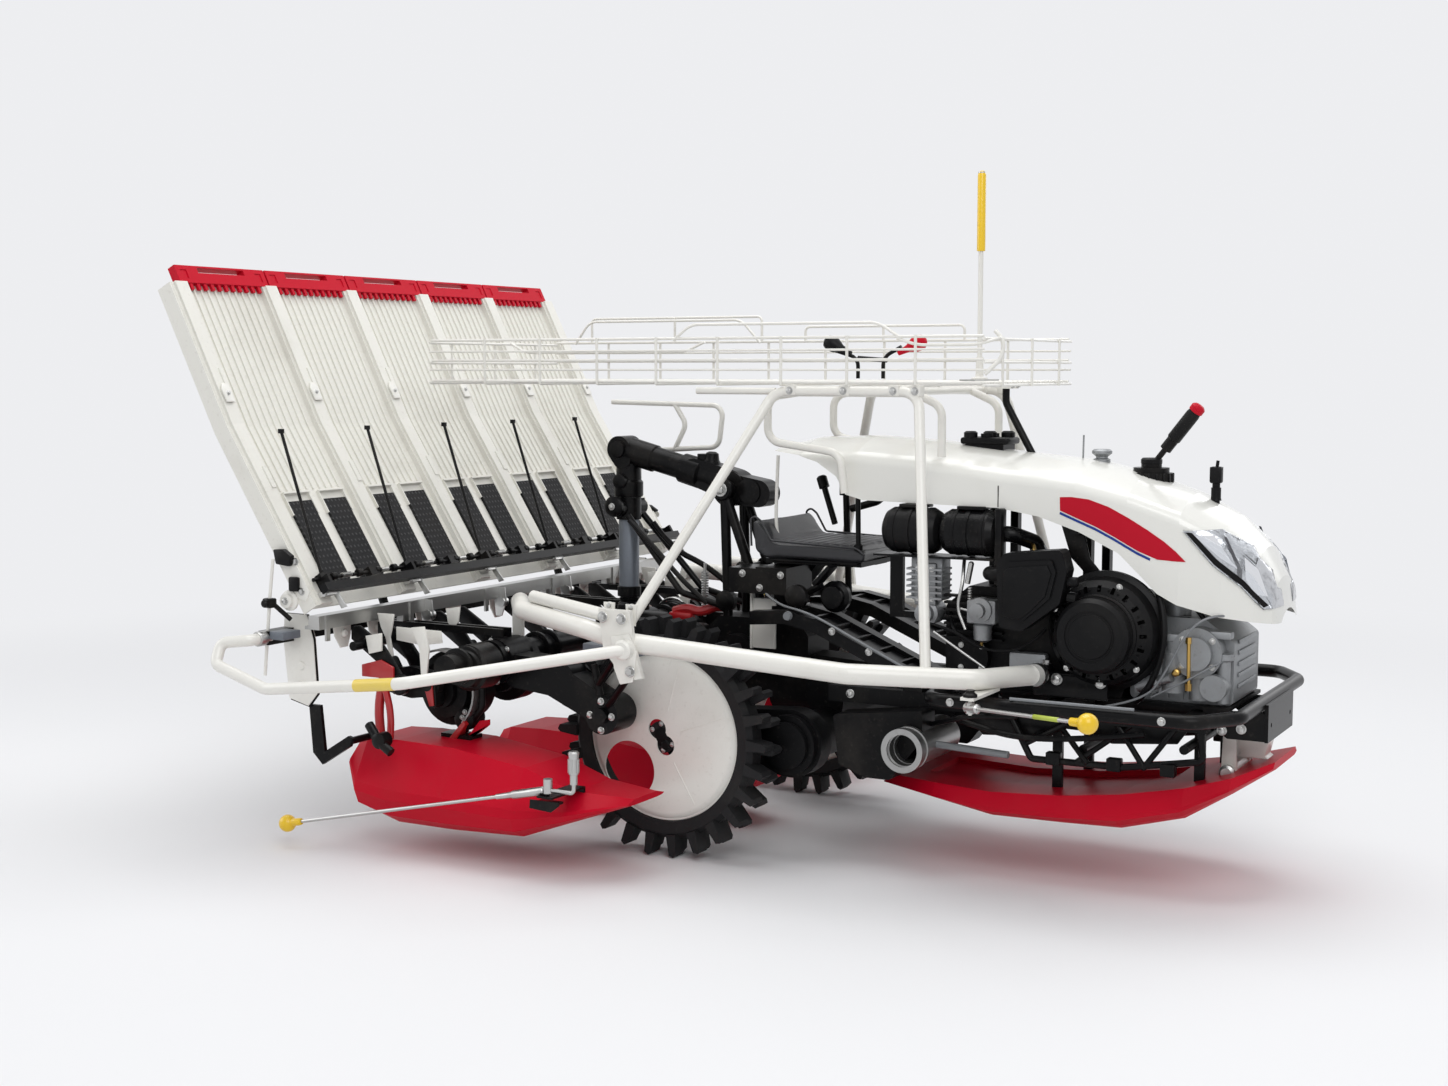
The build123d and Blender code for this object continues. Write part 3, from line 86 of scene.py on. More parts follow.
UP, FORWARD = (0, 0, 1), (1, 0, 0)
RIGHT, LEFT = (0, -1, 0), (0, 1, 0)
SIDES = (("right", -1), ("left", 1))
BOTH = (-1, 1)
ROW_PITCH = 330
ROWS = [row * ROW_PITCH for row in (-2, -1, 0, 1, 2)]
LANE_EDGES = [edge * ROW_PITCH for edge in (-2.5, -1.5, -0.5, 0.5, 1.5, 2.5)]


# --- properties ---------------------------------------------------------------------------
def colour(name, description, default):
    """Colour that a user can change."""
    return FloatVectorProperty(name=name, description=description, default=default, subtype="COLOR")


class PaintSettings(bpy.types.PropertyGroup):
    """Colours of the paints and plastics."""

    white_paint: colour("White paint", "Tubes, guards and rack", (0.8, 0.785, 0.735))
    hood_white: colour("Hood white", "Moulded hood shells", (0.81, 0.805, 0.76))
    tray_white: colour("Tray white", "Seedling tray and its rails", (0.76, 0.745, 0.69))
    black_paint: colour("Black paint", "Chassis, arms and posts", (0.004, 0.004, 0.0045))
    engine_black: colour("Engine black", "Engine covers and canisters", (0.0045, 0.0045, 0.005))
    red_plastic: colour("Red plastic", "Floats and tray handles", (0.52, 0.002, 0.018))
    yellow_plastic: colour("Yellow plastic", "Marker balls and mast sleeve", (0.85, 0.55, 0.01))
    rubber: colour("Rubber", "Lugged tyres and feed belts", (0.016, 0.016, 0.017))
    zinc: colour("Zinc", "Plated rods, rails and bolts", (0.5, 0.5, 0.49))
    brass: colour("Brass", "Pipe and small fittings on the engine", (0.56, 0.36, 0.11))
    stripe_red: colour("Stripe red", "Band on both sides of the hood", (0.5, 0.006, 0.022))
    stripe_blue: colour("Stripe blue", "Fine line under the hood's band", (0.02, 0.05, 0.26))
    castings: colour("Castings", "Grey alloy gear and engine castings", (0.3, 0.31, 0.32))
    vinyl: colour("Vinyl", "Seat cover", (0.02, 0.02, 0.023))
    wear: FloatProperty(name="Wear", description="How much dust and wear the finishes show",
        default=0.35, min=0.0, max=1.0)


class StageSettings(bpy.types.PropertyGroup):
    """Camera, floor and light."""

    lens: FloatProperty(name="Lens", description="Focal length of the camera", default=46.8,
        min=10.0, unit="CAMERA")
    camera_height: FloatProperty(name="Camera height", description="Camera above the floor",
        default=1.21, unit="LENGTH")
    camera_turn: FloatProperty(name="Camera turn",
        description="Camera's turn about the upright axis", default=math.radians(29.0),
        unit="ROTATION")
    camera_dip: FloatProperty(name="Camera dip", description="How far the camera looks down",
        default=math.radians(5.28), unit="ROTATION")
    floor_colour: colour("Floor colour", "Pale studio floor", (0.8, 0.8, 0.81))
    light_level: FloatProperty(name="Light level", description="Strength of the studio lamps",
        default=1.0, min=0.0)


# --- shader groups and materials -------------------------------------------------------------
def new_group(name, inputs, outputs):
    """Start a shader node group with named inputs and outputs."""
    group = bpy.data.node_groups.new(name, "ShaderNodeTree")
    for label, kind, value in inputs:
        socket = group.interface.new_socket(name=label, in_out="INPUT", socket_type=kind)
        socket.default_value = value
    for label, kind in outputs:
        group.interface.new_socket(name=label, in_out="OUTPUT", socket_type=kind)
    return group, group.nodes.new("NodeGroupInput"), group.nodes.new("NodeGroupOutput")


def node(tree, kind, links=(), **values):
    """Add a node, set its properties and link its inputs, given as (input, socket)."""
    made = tree.nodes.new(kind)
    for key, value in values.items():
        setattr(made, key, value)
    for name, source in links:
        if isinstance(source, bpy.types.NodeSocket):
            tree.links.new(source, made.inputs[name])
        else:
            made.inputs[name].default_value = source
    return made


def maths(tree, operation, *values, **settings):
    """Output of a maths node on sockets or numbers."""
    made = node(tree, "ShaderNodeMath", list(enumerate(values)), operation=operation, **settings)
    return made.outputs[0]


def noise(tree, place, scale, detail, **settings):
    """Noise in object space, at a scale and detail."""
    return node(tree, "ShaderNodeTexNoise", [("Vector", place.outputs["Object"]), ("Scale", scale),
        ("Detail", detail), *settings.items()]).outputs["Fac"]


def build_soiling():
    """Group that dulls a colour with soft stains and specks, in object space."""
    group, entry, leave = new_group("Soiling", [("Color", "NodeSocketColor", (1, 1, 1, 1)),
        ("Dirt", "NodeSocketColor", (0.2, 0.17, 0.13, 1)), ("Amount", "NodeSocketFloat", 0.3),
        ("Scale", "NodeSocketFloat", 6.0)],
        [("Color", "NodeSocketColor"), ("Mask", "NodeSocketFloat")])
    place = node(group, "ShaderNodeTexCoord")
    broad = noise(group, place, entry.outputs["Scale"], 6.0, Roughness=0.62)
    specks = noise(group, place, 90.0, 3.0)
    stain = node(group, "ShaderNodeMapRange",
        [("Value", broad), ("From Min", 0.5), ("From Max", 0.78)])
    fleck = node(group, "ShaderNodeMapRange",
        [("Value", specks), ("From Min", 0.6), ("From Max", 0.74)])
    both = maths(group, "MULTIPLY_ADD", fleck.outputs["Result"], 0.55, stain.outputs["Result"])
    mask = maths(group, "MULTIPLY", both, entry.outputs["Amount"], use_clamp=True)
    mixed = node(group, "ShaderNodeMix", data_type="RGBA",
        links=[(0, mask), (6, entry.outputs["Color"]), (7, entry.outputs["Dirt"])])
    group.links.new(mixed.outputs[2], leave.inputs["Color"])
    group.links.new(mask, leave.inputs["Mask"])
    return group


def build_grain():
    """Group that gives a fine surface height: orange peel, moulded grain or cast skin."""
    group, entry, leave = new_group("Grain", [("Fine", "NodeSocketFloat", 300.0),
        ("Coarse", "NodeSocketFloat", 25.0), ("Balance", "NodeSocketFloat", 0.4)],
        [("Height", "NodeSocketFloat")])
    place = node(group, "ShaderNodeTexCoord")
    fine = noise(group, place, entry.outputs["Fine"], 2.0)
    coarse = noise(group, place, entry.outputs["Coarse"], 3.0)
    mixed = node(group, "ShaderNodeMix", data_type="FLOAT",
        links=[(0, entry.outputs["Balance"]), (2, fine), (3, coarse)])
    group.links.new(mixed.outputs[0], leave.inputs["Height"])
    return group


def build_studs():
    """Group that puts small moulded studs in rows over a belt, in object space."""
    group, entry, leave = new_group("Studs",
        [("Pitch", "NodeSocketFloat", 0.012), ("Size", "NodeSocketFloat", 0.5)],
        [("Mask", "NodeSocketFloat")])
    place = node(group, "ShaderNodeTexCoord")
    split = node(group, "ShaderNodeSeparateXYZ", [(0, place.outputs["Object"])])
    waves = []
    for axis in ("Y", "Z"):
        turns = maths(group, "DIVIDE", split.outputs[axis], entry.outputs["Pitch"])
        waves.append(maths(group, "COSINE", maths(group, "MULTIPLY", turns, math.tau)))
    both = maths(group, "ADD", *waves)
    mask = node(group, "ShaderNodeMapRange",
        [("Value", both), ("From Min", entry.outputs["Size"]), ("From Max", 1.7)])
    group.links.new(mask.outputs["Result"], leave.inputs["Mask"])
    return group


def stud_belt(material, pitch, colour):
    """Give a belt's material its rows of studs, in colour and in height."""
    tree = material.node_tree
    shader = tree.nodes["Principled BSDF"]
    studs = node(tree, "ShaderNodeGroup", node_tree=bpy.data.node_groups["Studs"],
        links=[("Pitch", pitch), ("Size", 0.9)])
    below = shader.inputs["Base Color"].links[0].from_socket
    mixed = node(tree, "ShaderNodeMix", data_type="RGBA",
        links=[(0, studs.outputs["Mask"]), (6, below), (7, (*colour, 1))])
    tree.links.new(mixed.outputs[2], shader.inputs["Base Color"])
    bump = node(tree, "ShaderNodeBump", [("Strength", 0.7), ("Distance", 0.0015),
        ("Height", studs.outputs["Mask"]),
        ("Normal", shader.inputs["Normal"].links[0].from_socket)])
    tree.links.new(bump.outputs["Normal"], shader.inputs["Normal"])


def finish(name, colour, roughness, metallic=0.0, coat=0.0, dirt=(0.16, 0.13, 0.1), soil=0.3,
        soil_scale=5.0, fine=350.0, coarse=25.0, balance=0.35, bump=0.08, depth=0.0006,
        rough_spread=0.15, specular=0.5):
    """Make one procedural material from the shared soiling and grain groups."""
    made = bpy.data.materials.new(name)
    made.use_nodes = True
    tree = made.node_tree
    shader = tree.nodes["Principled BSDF"]
    wear = bpy.context.scene.transplanter_paint.wear
    soiling = node(tree, "ShaderNodeGroup", node_tree=bpy.data.node_groups["Soiling"],
        links=[("Color", (*colour, 1)), ("Dirt", (*dirt, 1)), ("Amount", soil * wear),
            ("Scale", soil_scale)])
    grain = node(tree, "ShaderNodeGroup", node_tree=bpy.data.node_groups["Grain"],
        links=[("Fine", fine), ("Coarse", coarse), ("Balance", balance)])
    bumped = node(tree, "ShaderNodeBump",
        [("Strength", bump), ("Distance", depth), ("Height", grain.outputs["Height"])])
    rough = node(tree, "ShaderNodeMapRange", [("Value", soiling.outputs["Mask"]), ("From Max", 0.5),
        ("To Min", roughness), ("To Max", min(1.0, roughness + rough_spread))])
    tree.links.new(soiling.outputs["Color"], shader.inputs["Base Color"])
    tree.links.new(rough.outputs["Result"], shader.inputs["Roughness"])
    tree.links.new(bumped.outputs["Normal"], shader.inputs["Normal"])
    shader.inputs["Metallic"].default_value = metallic
    shader.inputs["Coat Weight"].default_value = coat
    shader.inputs["Specular IOR Level"].default_value = specular
    shader.inputs["Coat Roughness"].default_value = 0.12
    return made


def make_materials():
    """Make every finish once, under the name of the material slot that it belongs to."""
    paint = bpy.context.scene.transplanter_paint
    build_soiling()
    build_grain()
    made = {
        "white_paint": finish("White tube paint", paint.white_paint, 0.3, coat=0.35, soil=0.35,
            dirt=(0.35, 0.31, 0.25), bump=0.05),
        "hood_white": finish("White hood shell", paint.hood_white, 0.22, coat=0.55, soil=0.12,
            dirt=(0.45, 0.42, 0.36), bump=0.03),
        "tray_white": finish("White tray plastic", paint.tray_white, 0.42, soil=0.7,
            dirt=(0.3, 0.25, 0.19), soil_scale=3.0, bump=0.08),
        "black_paint": finish("Black chassis paint", paint.black_paint, 0.28, specular=0.13,
            dirt=(0.08, 0.07, 0.06), soil=0.8, bump=0.1),
        "engine_black": finish("Black engine covers", paint.engine_black, 0.24, specular=0.15,
            dirt=(0.07, 0.06, 0.055), soil=0.5, bump=0.16, fine=500.0),
        "engine_grey": finish("Grey castings", paint.castings, 0.5, metallic=0.75,
            dirt=(0.1, 0.08, 0.06), soil=1.0, bump=0.35, fine=260.0),
        "red_plastic": finish("Red moulded plastic", paint.red_plastic, 0.42, specular=0.12,
            soil=0.35, dirt=(0.2, 0.06, 0.05), bump=0.06),
        "tyre_rubber": finish("Tyre rubber", paint.rubber, 0.55, soil=0.8, specular=0.15,
            dirt=(0.075, 0.068, 0.06), bump=0.2),
        "belt_rubber": finish("Belt rubber", paint.rubber, 0.62, soil=0.6, specular=0.15,
            dirt=(0.06, 0.05, 0.045), bump=0.3),
        "zinc": finish("Zinc plate", paint.zinc, 0.3, metallic=1.0, soil=0.5,
            dirt=(0.22, 0.19, 0.14), bump=0.06, coarse=60.0),
        "seat_vinyl": finish("Seat vinyl", paint.vinyl, 0.42, soil=0.4, dirt=(0.07, 0.065, 0.06),
            bump=0.35, fine=420.0, depth=0.0008),
        "yellow_plastic": finish("Yellow plastic", paint.yellow_plastic, 0.28, coat=0.3, soil=0.2,
            dirt=(0.4, 0.25, 0.02)),
        "cast_black": finish("Black castings", paint.black_paint, 0.44, soil=0.8, specular=0.13,
            dirt=(0.09, 0.08, 0.07), bump=0.35, fine=220.0),
        "black_plastic": finish("Black moulded plastic", paint.engine_black, 0.36, soil=0.4,
            specular=0.14, dirt=(0.07, 0.065, 0.06), bump=0.22, fine=520.0),
        "brass": finish("Brass", paint.brass, 0.3, metallic=1.0, soil=0.6, dirt=(0.2, 0.12, 0.04)),
        "reflector": finish("Chromed bowl", (0.8, 0.81, 0.83), 0.1, metallic=1.0, soil=0.05,
            bump=0.02),
        "stripe_red": finish("Red film", paint.stripe_red, 0.3, specular=0.15, soil=0.1,
            dirt=(0.3, 0.1, 0.1), bump=0.02),
        "stripe_blue": finish("Blue film", paint.stripe_blue, 0.3, specular=0.15, soil=0.1,
            bump=0.02),
        "wheel_white": finish("Pressed wheel paint", paint.white_paint, 0.3, coat=0.3, soil=0.6,
            dirt=(0.33, 0.28, 0.22), soil_scale=4.0, coarse=9.0, balance=0.9, bump=0.3,
            depth=0.006),
        "lamp_dark": finish("Lamp divider", (0.1, 0.1, 0.11), 0.25, metallic=0.6, soil=0.1),
        "lamp_bowl": finish("Lamp bowl", (0.58, 0.59, 0.61), 0.16, metallic=1.0, soil=2.6,
            dirt=(0.06, 0.06, 0.065), soil_scale=26.0, fine=60.0, bump=0.5, depth=0.002),
        "grey_wire": finish("Grey sheathed wire", (0.2, 0.21, 0.22), 0.45, metallic=0.2, soil=0.5,
            bump=0.15),
        "bare_steel": finish("Brushed steel", (0.36, 0.36, 0.355), 0.34, metallic=0.9, soil=0.9,
            dirt=(0.1, 0.08, 0.06), bump=0.12, fine=700.0),
        "grey_plate": finish("Grey painted plate", (0.15, 0.17, 0.2), 0.4, soil=0.8,
            dirt=(0.08, 0.07, 0.06), bump=0.12),
        "grey_sleeve": finish("Grey sleeve", (0.17, 0.19, 0.22), 0.38, metallic=0.35, soil=0.8,
            dirt=(0.07, 0.06, 0.05), bump=0.12),
        "claw_red": finish("Red enamel", (0.42, 0.012, 0.016), 0.34, coat=0.3, soil=0.9,
            dirt=(0.1, 0.03, 0.02), bump=0.1),
        "green_tape": finish("Green tape", (0.42, 0.5, 0.06), 0.4, soil=0.4, dirt=(0.2, 0.2, 0.08),
            bump=0.05),
        "label_yellow": finish("Yellow film", (0.8, 0.6, 0.1), 0.35, coat=0.3, soil=0.5,
            dirt=(0.4, 0.35, 0.2), bump=0.02)}
    build_studs()
    stud_belt(made["belt_rubber"], 0.0145, (0.055, 0.055, 0.056))
    glass = bpy.data.materials.new("Clear lens")
    glass.use_nodes = True
    shader = glass.node_tree.nodes["Principled BSDF"]
    shader.inputs["Base Color"].default_value = (0.93, 0.95, 0.97, 1)
    shader.inputs["Roughness"].default_value = 0.04
    shader.inputs["Transmission Weight"].default_value = 0.92
    shader.inputs["IOR"].default_value = 1.45
    made["clear_plastic"] = glass
    return made


def wear_slot(obj, slot_name):
    """Give a piece the material of one of the record's slots."""
    obj.data.materials.clear()
    obj.data.materials.append(MATERIALS[slot_name])


MATERIALS = {}


# --- making pieces ---------------------------------------------------------------------------
def clear_selection():
    """Go to object mode with nothing selected."""
    if bpy.context.mode != "OBJECT":
        bpy.ops.object.mode_set(mode="OBJECT")
    bpy.ops.object.select_all(action="DESELECT")


def take_up(*pieces):
    """Select only these pieces, with the last one active."""
    clear_selection()
    for piece in pieces:
        piece.select_set(True)
    bpy.context.view_layer.objects.active = pieces[-1]


def edit_all():
    """Open the active piece in edit mode with everything selected."""
    bpy.ops.object.mode_set(mode="EDIT")
    bpy.ops.mesh.select_all(action="SELECT")


def close_up(round_by=0):
    """Turn faces outwards, round the edges and leave edit mode."""
    bpy.ops.mesh.select_all(action="SELECT")
    bpy.ops.mesh.normals_make_consistent(inside=False)
    if round_by:
        bpy.ops.mesh.bevel(offset=round_by * MM, segments=2, affect="EDGES")
    bpy.ops.object.mode_set(mode="OBJECT")
    return bpy.context.object


def box_between(low, high, round_by=0):
    """Box between two opposite corners, with rounded edges."""
    clear_selection()
    span = Vector([abs(b - a) for a, b in zip(low, high)])
    bpy.ops.mesh.primitive_cube_add(size=1.0, location=(low + high) / 2, scale=span)
    bpy.ops.object.transform_apply(location=True, rotation=True, scale=True)
    edit_all()
    return close_up(round_by)


def slab(outline, push, round_by=0):
    """Plate with an outline of places, pushed out to a thickness."""
    clear_selection()
    bpy.ops.mesh.primitive_circle_add(vertices=len(outline), radius=1.0, fill_type="NGON")
    for vertex, place in zip(bpy.context.object.data.vertices, outline):
        vertex.co = place
    edit_all()
    bpy.ops.mesh.extrude_region_move(TRANSFORM_OT_translate={"value": Vector(push) * MM})
    return close_up(round_by)


def side_slab(outline, y_low, y_high, round_by=0):
    """Plate with an outline in X and Z, given from the axle, between two places across."""
    return slab([at(x, y_low, z) for x, z in outline], (0, y_high - y_low, 0), round_by)


def turned(place, direction, steps, sides=24):
    """Round piece built up along a direction from steps of distance and radius."""
    clear_selection()
    place, direction = Vector(place), Vector(direction).normalized()
    steps = [(along * MM, radius * MM) for along, radius in steps]
    along, radius = steps[0]
    bpy.ops.mesh.primitive_circle_add(vertices=sides, radius=radius, fill_type="NGON",
        location=place + direction * along, rotation=direction.to_track_quat("Z", "Y").to_euler())
    bpy.ops.object.transform_apply(location=True, rotation=True, scale=True)
    edit_all()
    for next_along, next_radius in steps[1:]:
        bpy.ops.mesh.extrude_region_move(
            TRANSFORM_OT_translate={"value": direction * (next_along - along)})
        if next_radius != radius:
            bpy.ops.transform.resize(value=(next_radius / radius,) * 3,
                center_override=place + direction * next_along)
        along, radius = next_along, next_radius
    return close_up()


def rod(points, radius, bend=0, resolution=4):
    """Round bar through places, with its corners rounded."""
    clear_selection()
    knots = [(points[0], points[0], points[0])]
    for before, corner, after in zip(points, points[1:], points[2:]):
        back, on = before - corner, after - corner
        reach = min(bend * MM, back.length * 0.45, on.length * 0.45)
        back, on = back.normalized() * reach, on.normalized() * reach
        knots += [(corner + back, corner + back, corner + back * 0.45),
            (corner + on, corner + on * 0.45, corner + on)]
    knots.append((points[-1], points[-1], points[-1]))
    bpy.ops.curve.primitive_bezier_curve_add(location=(0, 0, 0))
    curve = bpy.context.object.data
    line = curve.splines[0]
    line.bezier_points.add(len(knots) - len(line.bezier_points))
    for knot, (place, left, right) in zip(line.bezier_points, knots):
        knot.handle_left_type = knot.handle_right_type = "FREE"
        knot.co, knot.handle_left, knot.handle_right = place, left, right
    return bar_from(curve, radius, 5 if bend else 1, resolution)


def pipe(points, radius, resolution=3):
    """Thin pipe or wire in one smooth line near its places, fixed at both ends."""
    clear_selection()
    bpy.ops.curve.primitive_nurbs_path_add(location=(0, 0, 0))
    curve = bpy.context.object.data
    line = curve.splines[0]
    if len(points) > len(line.points):
        line.points.add(len(points) - len(line.points))
    for index, point in enumerate(line.points):
        point.co = (*points[min(index, len(points) - 1)], 1)
    line.order_u, line.use_endpoint_u = 3, True
    return bar_from(curve, radius, 6, resolution)


def bar_from(curve, radius, steps, resolution):
    """Give a curve its thickness and make it a mesh."""
    curve.dimensions = "3D"
    curve.bevel_depth = radius * MM
    curve.bevel_resolution = resolution
    curve.resolution_u = steps
    curve.use_fill_caps = True
    bpy.ops.object.convert(target="MESH")
    edit_all()
    bpy.ops.mesh.remove_doubles(threshold=0.01 * MM)
    return close_up()


def copies(template, places):
    """Copies of a small piece, each moved, turned and scaled by a matrix, with its own mesh."""
    made = []
    for matrix in places:
        copy = template.copy()
        copy.data = template.data.copy()
        bpy.context.scene.collection.objects.link(copy)
        copy.matrix_world = matrix
        made.append(copy)
    take_up(*made)
    bpy.ops.object.transform_apply(location=True, rotation=True, scale=True)
    bpy.data.objects.remove(template)
    return made


def bolts(places, direction, size):
    """Hexagon bolt heads on washers, of a half width, that point in a direction."""
    washer = turned((0, 0, 0), UP, [(0, 1.55), (0.2, 1.6), (0.3, 1.5)], 20)
    head = turned((0, 0, 0), UP, [(0.28, 1.1), (1.15, 1.1), (1.3, 0.85)], 6)
    take_up(washer, head)
    bpy.ops.object.join()
    turn = Vector(direction).to_track_quat("Z", "Y").to_matrix().to_4x4() @ Matrix.Scale(size, 4)
    return copies(head, [Matrix.Translation(place) @ turn for place in places])


def side_bolts(places, size):
    """Bolt heads that point out on both sides, at places given for the machine's left side."""
    return [bolt for sign in BOTH
        for bolt in bolts([at(x, sign * y, z) for x, y, z in places], (0, sign, 0), size)]


def fit(name, parts, slot, body="root", material=None, angle=35.0):
    """Join parts into one piece, finish it with the material of its slot or the given material, and
    hand it to a body.
    """
    take_up(*parts)
    if len(parts) > 1:
        bpy.ops.object.join()
    piece = bpy.context.object
    bpy.ops.object.transform_apply(location=True, rotation=True, scale=True)
    bpy.ops.object.shade_smooth_by_angle(angle=math.radians(angle))
    piece.name = piece.data.name = name
    piece.data.materials.clear()
    piece.data.materials.append(MATERIALS[material or slot])
    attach(piece, body)
    return piece


def hollow(piece, ends, wall):
    """Open a closed piece where its end caps are and give it a wall."""
    take_up(piece)
    edit_all()
    bpy.ops.mesh.select_mode(type="FACE")
    bpy.ops.mesh.select_all(action="DESELECT")
    bpy.ops.object.mode_set(mode="OBJECT")
    for face in piece.data.polygons:
        face.select = any((face.center - end).length < 2 * MM for end in ends)
    bpy.ops.object.mode_set(mode="EDIT")
    bpy.ops.mesh.delete(type="FACE")
    bpy.ops.mesh.select_mode(type="VERT")
    bpy.ops.object.mode_set(mode="OBJECT")
    shell = piece.modifiers.new("Wall", "SOLIDIFY")
    shell.thickness, shell.offset = wall * MM, -1
    bpy.ops.object.modifier_apply(modifier=shell.name)
    return piece


def tube(place, direction, steps, wall, sides=32):
    """Round piece that is open at both ends, with a wall."""
    place, direction = Vector(place), Vector(direction).normalized()
    ends = [place + direction * steps[index][0] * MM for index in (0, -1)]
    return hollow(turned(place, direction, steps, sides), ends, wall)


def around(centre, radius, across, degrees):
    """Places round a centre in a plane along the machine, moved across it."""
    return [centre + MM * Vector((radius * math.cos(turn), across, radius * math.sin(turn)))
        for turn in map(math.radians, degrees)]


def even_turns(count):
    """Angles spread evenly round a full turn."""
    return [math.tau * index / count for index in range(count)]


def cut_from(piece, cutters):
    """Cut closed pieces out of another and remove them."""
    take_up(piece)
    for cutter in cutters:
        cut = piece.modifiers.new("Opening", "BOOLEAN")
        cut.operation, cut.solver, cut.object = "DIFFERENCE", "EXACT", cutter
        bpy.ops.object.modifier_apply(modifier=cut.name)
    for cutter in cutters:
        bpy.data.objects.remove(cutter)
    return piece


# --- the machine's fittings ---------------------------------------------------------------
def make_seat():
    """Padded seat cover with low back, sewn ribs, swelled by a cloth simulation."""
    low, high = (Vector(corner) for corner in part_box("seat"))
    profile = [(112, 752), (108, 822), (118, 832), (132, 822), (160, 774), (180, 768), (300, 767),
        (400, 764), (424, 750), (419, 733), (392, 731), (140, 733)]
    pad = side_slab(profile, -158, 158, 6)
    remesh = pad.modifiers.new("Even mesh", "REMESH")
    remesh.mode, remesh.voxel_size = "VOXEL", 6 * MM
    bpy.ops.object.modifier_apply(modifier=remesh.name)
    swell(pad, 6 * MM)
    edit_all()
    bpy.ops.mesh.subdivide(number_cuts=1, smoothness=0.6)
    bpy.ops.object.mode_set(mode="OBJECT")
    rib_start, rib_end, rib_half, rib_pitch = 165, 420, 140, 28
    for vertex in pad.data.vertices:
        x, y, z = (vertex.co - at(0, 0, 0)) / MM
        if z > 752 and rib_start < x < rib_end and abs(y) < rib_half:
            turns = (x - 180) / rib_pitch
            seam = abs(turns - round(turns)) * rib_pitch
            fade = min(1, (rib_half - abs(y)) / 12, (x - rib_start) / 8, (rib_end - x) / 8)
            vertex.co.z += MM * fade * (1.8 - 6 * math.exp(-(seam / 3.4) ** 2))
    for vertex in pad.data.vertices:
        for axis in range(3):
            vertex.co[axis] = min(max(vertex.co[axis], low[axis]), high[axis] + 4 * MM)
    fit("seat_pad", [pad], "seat_vinyl", angle=80)
    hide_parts("seat")
    edge = ((108, 760), (105, 829), (119, 836), (136, 824), (164, 776), (300, 770.5), (402, 767),
        (427, 750))
    fit("seat_piping", [rod([at(x, y, z) for x, z in edge], 2.8, 6) for y in (-160, 160)],
        "seat_vinyl")
    fit("seat_pan", [side_slab([(150, 728), (400, 728), (392, 720), (158, 720)], -140, 140, 3)],
        "black_paint")


def swell(pad, cap):
    """Blow a closed pad up with a short cloth simulation and keep the shape it reaches."""
    start = [vertex.co.copy() for vertex in pad.data.vertices]
    cloth = pad.modifiers.new("Cloth", "CLOTH")
    cloth.settings.quality = 5
    cloth.settings.mass = 0.3
    cloth.settings.tension_stiffness = cloth.settings.compression_stiffness = 25
    cloth.settings.bending_stiffness = 2.0
    cloth.settings.use_pressure = True
    cloth.settings.uniform_pressure_force = 4.0
    cloth.settings.effector_weights.gravity = 0.0
    cloth.point_cache.frame_start, cloth.point_cache.frame_end = 1, 20
    for step in range(1, 21):
        bpy.context.scene.frame_set(step)
    bpy.ops.object.modifier_apply(modifier=cloth.name)
    bpy.context.scene.frame_set(1)
    for vertex, home in zip(pad.data.vertices, start):
        move = vertex.co - home
        if move.length > cap:
            vertex.co = home + move.normalized() * cap


def hood_half(x):
    """Half width of the hood's upright wall at a place along the machine."""
    stations = ((128, 132), (240, 150), (400, 163), (560, 172), (780, 178), (970, 184), (1093, 183),
        (1213, 176), (1307, 162), (1377, 142), (1412, 116), (1424, 92))
    for (x0, half0), (x1, half1) in zip(stations, stations[1:]):
        if x <= x1:
            return half0 + (half1 - half0) * (x - x0) / (x1 - x0)
    return stations[-1][1]


def on_hood(outline, sign, lift, thickness=0.6):
    """Thin sheet with an outline in X and Z that follows the hood's side wall."""
    piece = slab([at(x, 0, z) for x, z in outline], (0, sign * thickness, 0))
    edit_all()
    for x in (970, 1093, 1213, 1260, 1307, 1342, 1377, 1395, 1412):
        bpy.ops.mesh.select_all(action="SELECT")
        bpy.ops.mesh.bisect(plane_co=at(x, 0, 0), plane_no=FORWARD)
    bpy.ops.object.mode_set(mode="OBJECT")
    for vertex in piece.data.vertices:
        wall = hood_half((vertex.co.x - AXLE_X) / MM) + lift
        vertex.co.y = sign * (wall * MM + abs(vertex.co.y))
    return piece


